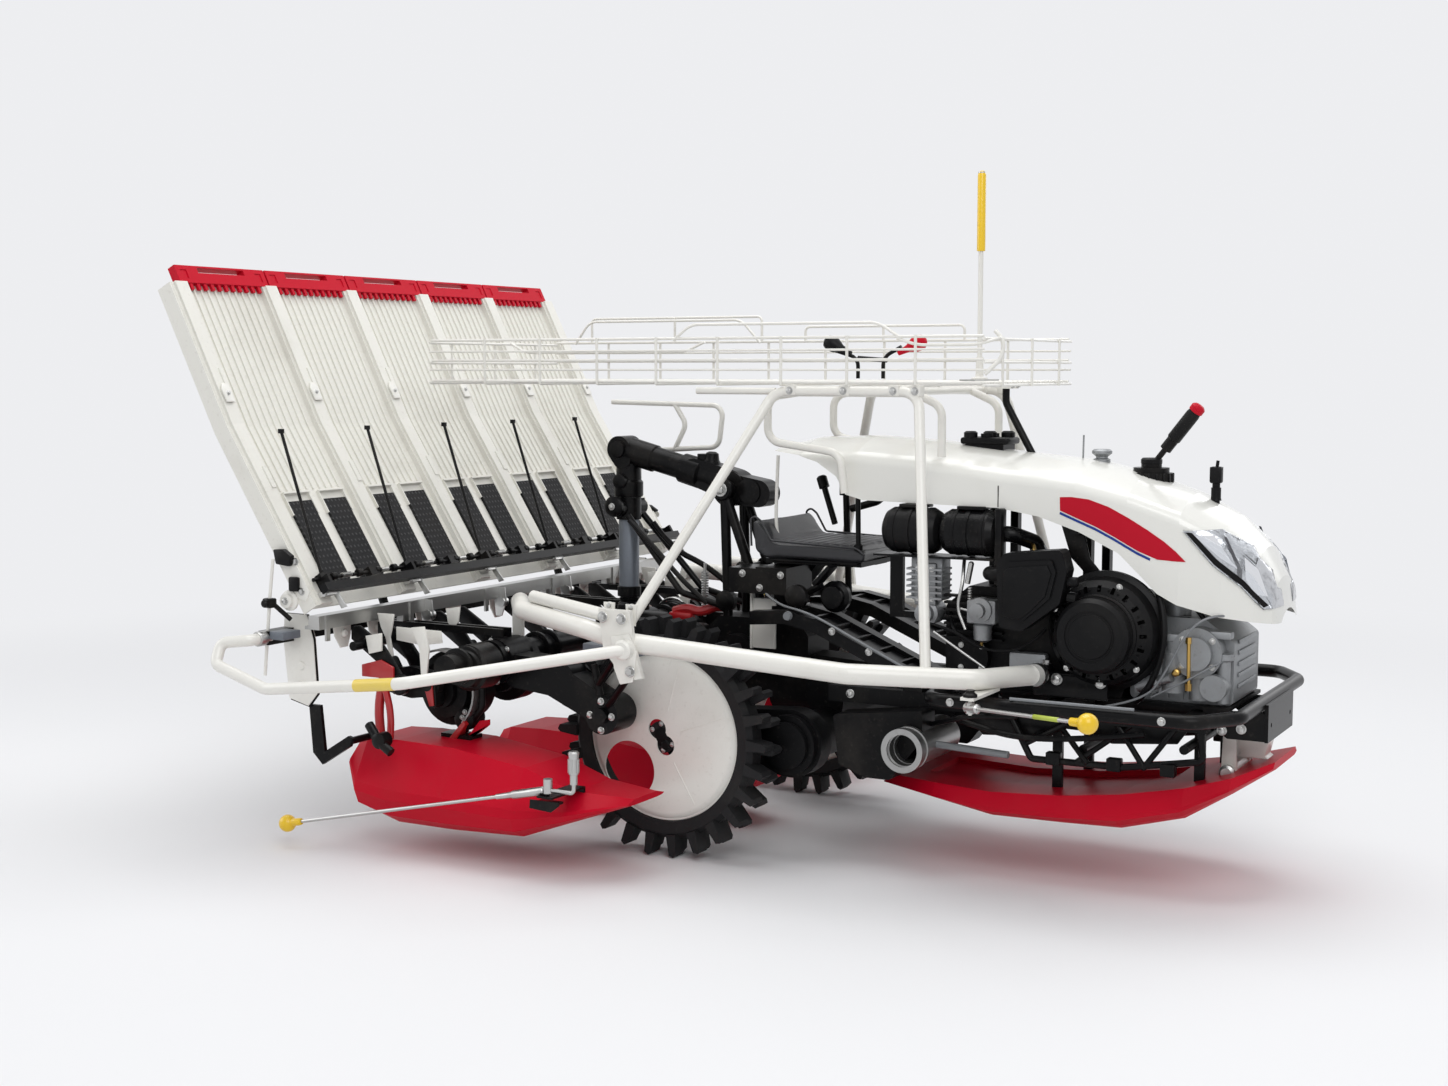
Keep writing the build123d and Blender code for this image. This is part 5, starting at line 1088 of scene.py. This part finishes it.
def make_lift():
    """Collars, boots, sleeve and pins of the lift arm, its posts and the mast."""
    mast, arm_head, arm_pin = -360, at(-372, 0, 992), at(-30, 0, 905)
    fit("lift_arm_collars", [
        turned(arm_head, arm_pin - arm_head, [(20, 33.5), (22, 37), (100, 37), (104, 33.5)], 32),
        turned(arm_head, arm_pin - arm_head, [(190, 33.5), (192, 40), (250, 41), (256, 33.5)], 32),
        turned(at(-100, 0, 950), (0.1, 0, 1), [(0, 26), (8, 27), (20, 20), (36, 17), (40, 10)], 20),
        turned(arm_head, LEFT, [(-46, 16), (-44, 22), (-34, 24), (34, 24), (44, 22), (46, 16)], 24),
        turned(at(30, 0, 888), LEFT, [(-36, 26), (-34, 34), (34, 34), (36, 26)], 28)],
        "black_paint", body="lift_arm")
    fit("lift_rod_sleeve", [
        tube(at(mast, 0, 862), UP, [(0, 38.5), (4, 40), (40, 40), (46, 35), (100, 33)], 3.5, 32),
        turned(at(-362, 0, 905), RIGHT, [(30, 20), (48, 20), (52, 14)], 20)], "black_paint",
        body="lift_rod")
    fit("lift_pin_washers", [
        turned(at(-30, 0, 895), (0, sign, 0), [(64, 30), (70, 30), (74, 26)], 28) for sign in BOTH],
        "black_paint")
    fit("lift_pin_bolts", side_bolts([(-30, 74, 895)], 12), "zinc")
    fit("mast_grey_sleeve",
        [turned(at(mast, 0, 612), UP, [(0, 26.2), (2, 27.8), (186, 27.8), (190, 26.2)], 32)],
        "zinc", material="grey_sleeve")
    fit("mast_rings", [
        *[turned(at(mast, 0, z), UP, [(0, 27), (2, 32.5), (28, 32.5), (30, 27)], 28)
            for z in (586, 800)],
        turned(at(-366, -60, 838), RIGHT, [(0, 27), (10, 28), (16, 20), (18, 10)], 24),
        *[turned(at(mast, 0, z), UP, [(0, 26), (4, 31), (8, 26)], 24)
            for z in range(520, 586, 11)]], "black_paint")
    fit("mast_bolt", bolts([at(-366, -78, 838)], RIGHT, 6), "zinc")
    joints = []
    for sign in BOTH:
        joints += [
            turned(at(30, sign * 52, 690), (0, sign, 0), [(0, 18), (18, 18), (22, 12)], 20),
            turned(at(-20, sign * 52, 600), (0, sign, 0), [(0, 28), (18, 28), (24, 18)], 24)]
    joints += [
        pipe([at(-300, 30, 790), at(-240, 30, 720), at(-140, 40, 680), at(-60, 50, 620)], 8),
        pipe([at(-330, -46, 800), at(-250, -60, 740), at(-160, -60, 650), at(-80, -60, 590)], 7)]
    fit("lift_joints", joints, "black_paint")
    fit("return_spring", [
        rod([at(-120, 0, 545), at(-120, 0, 690)], 4),
        *[turned(at(-120, 0, 560 + coil * 6.8), (0.08, 0, 1), [(0, 10), (3.6, 10)], 12)
            for coil in range(16)]], "zinc")
    fit("lift_red_cams", [
        pipe([at(-190, -40, 560), at(-150, -45, 574), at(-110, -40, 560), at(-60, -30, 584),
            at(-30, -30, 575)], 13),
        box_between(at(-200, -60, 540), at(-130, -30, 560), 6)], "red_plastic", material="claw_red")
    fit("lift_valve_cases", [
        box_between(at(-300, -120, 500), at(-190, -60, 560), 10),
        turned(at(-245, -120, 570), UP, [(0, 20), (18, 20), (22, 12), (34, 12), (36, 6)], 16),
        box_between(at(-180, -150, 490), at(-60, -70, 540), 12),
        turned(at(-260, -190, 560), UP, [(0, 16), (30, 16), (34, 10)], 16),
        box_between(at(-300, -230, 520), at(-200, -160, 556), 8),
        turned(at(-52, -170, 520), RIGHT, [(0, 34), (20, 34), (26, 26), (40, 26), (44, 16)], 24)],
        "cast_black")


def make_station():
    """Pedals, levers and rods round the seat."""
    fit("pedals", [
        slab([at(300, -190, 668), at(345, -190, 716), at(345, -140, 716), at(300, -140, 668)],
            (-8, 0, 8), 4),
        rod([at(310, -165, 670), at(250, -150, 640), at(200, -130, 640)], 9, 30),
        turned(at(250, -176, 640), RIGHT, [(0, 30), (16, 30), (22, 20)], 24),
        turned(at(336, -128, 640), RIGHT, [(0, 40), (14, 40), (20, 30), (34, 28)], 28)],
        "black_paint")
    fit("seat_levers", [
        rod([at(402, -150, 894), at(404, -150, 770)], 6.5),
        turned(at(404, -150, 762), UP, [(0, 12), (12, 12), (16, 7)], 14),
        turned(at(214, 60, 880), at(190, 70, 920) - at(240, 50, 800),
            [(-80, 8), (20, 8), (22, 14), (50, 14), (54, 10)], 16)], "black_paint")
    fit("seat_side_rod", [
        pipe([at(153, -100, 990), at(149, -100, 900), at(147, -100, 820), at(152, -100, 778),
            at(196, -100, 750), at(230, -100, 742)], 4.5)], "white_paint")
    fit("front_cover_plate", [
        box_between(at(92, -126, 492), at(160, -120, 622), 2),
        box_between(at(88, -132, 490), at(94, -112, 640), 2)], "white_paint")
    fit("step_stays", [
        rod([at(120, -150, 660), at(200, -200, 620), at(330, -262, 610), at(600, -262, 486)], 3.2,
            50),
        turned(at(262, -254, 600), RIGHT, [(0, 12), (10, 10)], 12)], "zinc", material="grey_wire")
    fit("station_bolts",
        bolts([at(140, -176, 655), at(200, -176, 690), at(90, -176, 690)], RIGHT, 6)
        + bolts([at(x, -250, 590 - (x - 330) * 0.434) for x in (380, 480, 580)], RIGHT, 6), "zinc")


def make_rack():
    """Rack's raised loops, clamps, lever knobs, and the mast with its yellow sleeve."""
    half, low, rim, rear_end, front_end = 300, 1178, 1286, -800, 790
    posts = (286, 430, 560, 616)
    wires = []
    for y, rear, front, rise in ((-half, 10, 520, 34), (0, -700, -180, -30),
            (half - 60, -640, -140, 60), (-half, 620, 770, -20)):
        wires.append(
            rod([at(rear - 50, y, rim - 4), at(rear, y, rim + rise), at(front, y, rim + rise),
                at(front + 60, y, rim - 4)], 3.6, 20))
    wires += [rod([at(rear_end, y, low + z), at(front_end, y, low + z)], 2.8)
        for z in (30, 78) for y in (-half - 6, half + 6)]
    wires.append(
        rod([at(front_end, -half, low + 20), at(826, -half + 20, low + 60),
            at(826, -half + 20, low + 100), at(806, -half + 20, low + 120)], 5, 20))
    wires += [rod([at(rear_end + 4, sign * y, low), at(front_end - 4, sign * y, low)], 2.6)
        for y in (37, 112, 187, 262) for sign in BOTH]
    fit("rack_wires", wires, "white_paint")
    fit("rack_saddles", [box_between(at(x - 14, sign * 271, 1146), at(x + 14, sign * 299, 1172), 4)
        for x in posts for sign in BOTH], "white_paint")
    fit("rack_bolts",
        side_bolts([(x, 299, 1158) for x in posts], 6)
        + bolts([at(752, y, 1172) for y in (-20, 20)], FORWARD, 6), "zinc")
    for name, x, slot, lean in (("black", 273, "black_plastic", -1),
            ("red", 479, "red_plastic", 1)):
        fit(f"rack_{name}_knob", [
            turned(at(x - lean * 10, 0, 1262), (lean * 0.9, 0, 0.42),
                [(-30, 6), (0, 10), (18, 19), (34, 21), (46, 16), (52, 6)], 20)], slot)
    fit("rack_lever_arms", [
        rod([at(250, 0, 1262), at(330, 0, 1238), at(330, 0, 1186)], 5, 20),
        rod([at(450, 0, 1266), at(400, 0, 1240), at(400, 0, 1186)], 5, 20),
        rod([at(330, 0, 1238), at(410, 0, 1232)], 6)], "black_paint")
    fit("mast_sleeve", [
        turned(at(660, 0, 1498), UP, [(0, 9.6), (1, 10.4), (182, 10.4), (190, 8.8), (194.5, 5)],
            20)], "yellow_plastic")
    fit("mast_base", [
        turned(at(660, 0, 1180), UP, [(0, 20), (8, 20), (12, 10), (60, 8.5)], 20),
        rod([at(660, 0, 1200), at(660, 0, 1500)], 6.2)], "white_paint")


def make_markers():
    """Balls, sockets, grips and clamps of the four markers."""
    ball_steps = sphere_steps(22.2, 14)
    for side, sign in SIDES:
        y, body = sign * 812, f"line_marker_{side}"
        fall = Vector((-800, 0, -173)).normalized()
        ball = at(-880, y, 60)
        fit(f"line_marker_ball_{side}", [
            turned(ball, fall, ball_steps, 28),
            turned(ball, -fall, [(14, 11), (24, 9.8), (44, 9.2), (48, 7.5)], 20)], "yellow_plastic",
            body=body)
        fit(f"line_marker_socket_{side}", [
            turned(at(-80, y, 233), fall,
                [(10, 8.5), (12, 10.5), (100, 10.5), (104, 8), (150, 6.5)], 20),
            turned(at(-8, y, 276), UP, [(0, 10), (4, 12.5), (40, 11.8), (52, 13.5), (56, 10)], 16),
            *[turned(at(-8 + 11.8 * math.cos(turn), y + 11.8 * math.sin(turn), 282), UP,
                [(0, 1.8), (32, 1.8)], 6) for turn in even_turns(10)]], "zinc", body=body)
        fit(f"line_marker_seat_{side}", [
            side_slab([(-118, 211), (-40, 211), (-36, 204), (-60, 186), (-120, 190)], y + sign * 16,
                y + sign * 20, 1),
            box_between(at(-110, y - sign * 20, 200), at(-50, y + sign * 18, 206), 1)],
            "black_paint")
    x, y, arm = 850, 520, 390
    for side, sign, ball_z, swung in (("right", -1, 491, 31.0), ("left", 1, 462, 39.8)):
        body = f"side_marker_{side}"
        pivot = at(x, sign * y, 462)
        turn = math.radians(swung)
        ball = at(x + arm * math.cos(turn), sign * (y + arm * math.sin(turn)), ball_z)
        along = (ball - pivot).normalized()
        fit(f"side_marker_ball_{side}", [
            turned(ball, along, ball_steps, 28),
            turned(ball, -along, [(14, 11), (24, 9.6), (50, 8.8), (52, 6)], 20)], "yellow_plastic",
            body=body)
        fit(f"side_marker_tape_{side}",
            [turned(pivot, along, [(220, 4.5), (221, 5.2), (300, 5.2), (301, 4.5)], 16)], "zinc",
            body=body, material="green_tape")
        fit(f"side_marker_knuckle_{side}",
            [turned(pivot, along, [(-14, 9), (-12, 11), (26, 11), (30, 7)], 16)], "zinc", body=body)
        fit(f"side_marker_seat_{side}",
            [turned(at(x, sign * y, 487), UP, [(0, 16), (6, 16), (10, 10), (16, 10)], 20)],
            "black_paint")


def sphere_steps(radius, count):
    """Steps of distance and radius that turn up a ball."""
    turns = [math.pi * (index + 0.25) / (count + 0.5) for index in range(count + 1)]
    return [(-radius * math.cos(turn), radius * math.sin(turn)) for turn in turns]


def make_wheels():
    """Pressed cover discs of the wheels, with their openings, hub caps and bolts."""
    for side, sign in SIDES:
        body = f"wheel_{side}"
        hub = at(0, sign * 400, 300)
        across = Vector((0, sign, 0))
        disc = turned(hub, across, [(7, 211.5), (18.5, 211.5), (19.5, 210.5), (19.5, 206),
            (26.5, 196), (28.5, 190), (30, 130), (31, 70)], 96)
        disc = hollow(disc, [hub + across * 7 * MM], 3.5)
        opening = around(hub, 131, 0, [224])[0]
        lobes = around(hub, 23, 0, (121 + 180, 121))
        waist = (lobes[1] - lobes[0]).normalized().cross(across) * 17 * MM
        slot = slab([lobes[0] - waist, lobes[1] - waist, lobes[1] + waist, lobes[0] + waist],
            across * 60)
        disc = cut_from(disc, [turned(opening, across, [(0, 73), (60, 73)], 64), slot,
            *[turned(lobe, across, [(0, 25), (60, 25)], 32) for lobe in lobes]])
        ridges = [
            rod([around(hub, start, sign * 29.2, [angle])[0],
                around(hub, end, sign * 26.5, [angle])[0]], 3)
            for angle, start, end in ((20, 60, 180), (75, 70, 182), (300, 70, 186))]
        piece = fit(f"wheel_cover_{side}", [disc, *ridges], "white_paint", body=body,
            material="wheel_white", angle=25)
        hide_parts(f"wheel_disc_{side}")
        fit(f"wheel_hub_cap_{side}", [
            turned(hub, across, [(20, 24), (27.5, 24), (29, 20)], 24),
            turned(lobes[0], across, [(20, 14), (30, 14), (33, 10)], 6)], "cast_black", body=body)
        fit(f"wheel_hub_bolts_{side}",
            bolts(around(hub, 33, sign * 27, (95, 150, 275, 330)), across, 4), "zinc", body=body)


# --- operators -------------------------------------------------------------------------------
class TRANSPLANTER_OT_finishes(bpy.types.Operator):
    """Make the finishes and put them on the machine's solid parts."""

    bl_idname = "transplanter.finishes"
    bl_label = "Finishes"

    def execute(self, context):
        MATERIALS.update(make_materials())
        for part in frame["record"]["subparts"]:
            wear_slot(CAD_NODES[part["node"]], part["material_slot"])
        return {"FINISHED"}


class TRANSPLANTER_OT_seat(bpy.types.Operator):
    """Padded seat cover with sewn ribs and piping."""

    bl_idname = "transplanter.seat"
    bl_label = "Padded seat"

    def execute(self, context):
        make_seat()
        return {"FINISHED"}


class TRANSPLANTER_OT_hood(bpy.types.Operator):
    """Stripes, lamps, caps and grips of the hood."""

    bl_idname = "transplanter.hood"
    bl_label = "Hood trim"

    def execute(self, context):
        make_hood()
        return {"FINISHED"}


class TRANSPLANTER_OT_engine(bpy.types.Operator):
    """Covers, castings, pipes and cables of the engine."""

    bl_idname = "transplanter.engine"
    bl_label = "Engine fittings"

    def execute(self, context):
        make_engine()
        return {"FINISHED"}


class TRANSPLANTER_OT_front(bpy.types.Operator):
    """Links, bolts and stays round the front guard tube."""

    bl_idname = "transplanter.front"
    bl_label = "Front fittings"

    def execute(self, context):
        make_front()
        return {"FINISHED"}


class TRANSPLANTER_OT_tray(bpy.types.Operator):
    """Clamps, levers, latches and brackets of the seedling tray."""

    bl_idname = "transplanter.tray"
    bl_label = "Tray fittings"

    def execute(self, context):
        make_tray_fittings()
        return {"FINISHED"}


class TRANSPLANTER_OT_guards(bpy.types.Operator):
    """Sleeves, plates, labels and rods of the guards."""

    bl_idname = "transplanter.guards"
    bl_label = "Guard fittings"

    def execute(self, context):
        make_guard_fittings()
        return {"FINISHED"}


class TRANSPLANTER_OT_planting(bpy.types.Operator):
    """Claws, covers, rings and links of the planting section."""

    bl_idname = "transplanter.planting"
    bl_label = "Planting fittings"

    def execute(self, context):
        make_planting()
        return {"FINISHED"}


class TRANSPLANTER_OT_lift(bpy.types.Operator):
    """Collars, boots, sleeve and pins of the lift arm."""

    bl_idname = "transplanter.lift"
    bl_label = "Lift fittings"

    def execute(self, context):
        make_lift()
        return {"FINISHED"}


class TRANSPLANTER_OT_station(bpy.types.Operator):
    """Pedals, levers and rods round the seat."""

    bl_idname = "transplanter.station"
    bl_label = "Pedals and levers"

    def execute(self, context):
        make_station()
        return {"FINISHED"}


class TRANSPLANTER_OT_rack(bpy.types.Operator):
    """Loops, clamps and knobs of the rack, and the mast sleeve."""

    bl_idname = "transplanter.rack"
    bl_label = "Rack fittings"

    def execute(self, context):
        make_rack()
        return {"FINISHED"}


class TRANSPLANTER_OT_markers(bpy.types.Operator):
    """Balls, sockets and grips of the four markers."""

    bl_idname = "transplanter.markers"
    bl_label = "Marker fittings"

    def execute(self, context):
        make_markers()
        return {"FINISHED"}


class TRANSPLANTER_OT_wheels(bpy.types.Operator):
    """Cover discs, hub caps and bolts of the two wheels."""

    bl_idname = "transplanter.wheels"
    bl_label = "Wheel fittings"

    def execute(self, context):
        make_wheels()
        return {"FINISHED"}


def seen_directly(tree):
    """Socket that is one for camera, glossy and transmission rays, and zero for all others."""
    path = node(tree, "ShaderNodeLightPath")
    clear = maths(tree, "MAXIMUM", path.outputs["Is Camera Ray"],
        path.outputs["Is Transmission Ray"])
    return maths(tree, "MAXIMUM", clear, path.outputs["Is Glossy Ray"])


class TRANSPLANTER_OT_stage(bpy.types.Operator):
    """Lay the studio floor, hang the lamps and place the camera."""

    bl_idname = "transplanter.stage"
    bl_label = "Studio"

    def execute(self, context):
        settings = context.scene.transplanter_stage
        bpy.ops.object.select_all(action="DESELECT")
        bpy.ops.mesh.primitive_plane_add(size=60.0, location=(0, 0, 0))
        floor = context.object
        floor.name = "studio_floor"
        bpy.ops.object.mode_set(mode="EDIT")
        bpy.ops.mesh.subdivide(number_cuts=3)
        bpy.ops.object.mode_set(mode="OBJECT")
        floor.data.materials.append(self.floor_paint(settings.floor_colour))
        self.light_world(context.scene)
        for name, place, target, size, power in (
                ("key_lamp", (3.5, -5.0, 5.0), (0, 0, 0.6), 4.5, 185),
                ("top_lamp", (-0.5, 0.5, 6.0), (0, 0, 0.5), 5.0, 225),
                ("left_lamp", (-6.0, -3.0, 3.0), (0, 0, 0.6), 4.0, 85),
                ("back_lamp", (2.5, 6.0, 4.0), (0, 0, 0.8), 4.0, 70)):
            self.hang_lamp(context, name, place, target, size, power * settings.light_level)
        self.place_camera(context, settings)
        context.scene.view_settings.view_transform = "Standard"
        return {"FINISHED"}

    @staticmethod
    def floor_paint(colour):
        """Pale floor that fades into the background away from the machine."""
        made = bpy.data.materials.new("Studio floor")
        made.use_nodes = True
        tree = made.node_tree
        shader = tree.nodes["Principled BSDF"]
        shader.inputs["Base Color"].default_value = (*colour, 1)
        shader.inputs["Roughness"].default_value = 0.7
        place = node(tree, "ShaderNodeTexCoord")
        length = node(tree, "ShaderNodeVectorMath", operation="LENGTH",
            links=[(0, place.outputs["Object"])])
        fade = node(tree, "ShaderNodeMapRange",
            [("Value", length.outputs["Value"]), ("From Min", 2.2), ("From Max", 5.5)],
            interpolation_type="SMOOTHSTEP")
        glow = node(tree, "ShaderNodeEmission",
            [("Color", (0.85, 0.855, 0.875, 1)), ("Strength", 1.0)])
        share = maths(tree, "MULTIPLY", fade.outputs["Result"], seen_directly(tree))
        mixed = node(tree, "ShaderNodeMixShader",
            [(0, share), (1, shader.outputs[0]), (2, glow.outputs[0])])
        tree.links.new(mixed.outputs[0], tree.nodes["Material Output"].inputs["Surface"])
        return made

    @staticmethod
    def light_world(scene):
        """Even sky light, with a paler background for the camera and reflections."""
        world = bpy.data.worlds.new("Studio")
        scene.world = world
        world.use_nodes = True
        tree = world.node_tree
        back = tree.nodes["Background"]
        back.inputs["Color"].default_value = (0.9, 0.92, 0.95, 1)
        back.inputs["Strength"].default_value = 0.44
        seen = node(tree, "ShaderNodeBackground",
            [("Color", (0.85, 0.855, 0.875, 1)), ("Strength", 1.0)])
        mixed = node(tree, "ShaderNodeMixShader",
            [(0, seen_directly(tree)), (1, back.outputs[0]), (2, seen.outputs[0])])
        tree.links.new(mixed.outputs[0], tree.nodes["World Output"].inputs["Surface"])

    @staticmethod
    def hang_lamp(context, name, place, target, size, power):
        """Hang one square soft lamp that points at a target."""
        bpy.ops.object.light_add(type="AREA", location=place)
        lamp = context.object
        lamp.name = name
        lamp.data.size = size
        lamp.data.energy = power
        lamp.rotation_euler = (Vector(target) - Vector(place)).to_track_quat("-Z", "Y").to_euler()

    @staticmethod
    def place_camera(context, settings):
        """Stand the camera ahead of the machine on its right, a little above the seat."""
        place = at(2370, -4386, 0) + Vector((0, 0, settings.camera_height))
        bpy.ops.object.camera_add(location=place)
        camera = context.object
        camera.name = "camera"
        camera.data.lens = settings.lens
        camera.data.sensor_width = 36.0
        camera.rotation_euler = (math.pi / 2 - settings.camera_dip, 0.0, settings.camera_turn)
        context.scene.camera = camera


OPERATORS = (
    TRANSPLANTER_OT_finishes,
    TRANSPLANTER_OT_seat,
    TRANSPLANTER_OT_hood,
    TRANSPLANTER_OT_engine,
    TRANSPLANTER_OT_front,
    TRANSPLANTER_OT_tray,
    TRANSPLANTER_OT_guards,
    TRANSPLANTER_OT_planting,
    TRANSPLANTER_OT_lift,
    TRANSPLANTER_OT_station,
    TRANSPLANTER_OT_rack,
    TRANSPLANTER_OT_markers,
    TRANSPLANTER_OT_wheels,
    TRANSPLANTER_OT_stage,
)


class TRANSPLANTER_PT_panel(bpy.types.Panel):
    """Sidebar panel that lists the pieces and their settings."""

    bl_idname = "TRANSPLANTER_PT_panel"
    bl_label = "Rice transplanter"
    bl_space_type = "VIEW_3D"
    bl_region_type = "UI"
    bl_category = "Transplanter"

    def draw(self, context):
        for operator in OPERATORS:
            self.layout.operator(operator.bl_idname)
        for group in (context.scene.transplanter_paint, context.scene.transplanter_stage):
            for name in group.__annotations__:
                self.layout.prop(group, name)


CLASSES = (PaintSettings, StageSettings, *OPERATORS, TRANSPLANTER_PT_panel)


def register():
    """Register the classes and hang the settings on the scene."""
    for cls in CLASSES:
        bpy.utils.register_class(cls)
    bpy.types.Scene.transplanter_paint = PointerProperty(type=PaintSettings)
    bpy.types.Scene.transplanter_stage = PointerProperty(type=StageSettings)


def unregister():
    """Take the settings off the scene and unregister the classes."""
    del bpy.types.Scene.transplanter_stage
    del bpy.types.Scene.transplanter_paint
    for cls in reversed(CLASSES):
        bpy.utils.unregister_class(cls)


def main():
    """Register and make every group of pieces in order."""
    register()
    for operator in OPERATORS:
        family, name = operator.bl_idname.split(".")
        getattr(getattr(bpy.ops, family), name)()


if __name__ == "__main__":
    main()
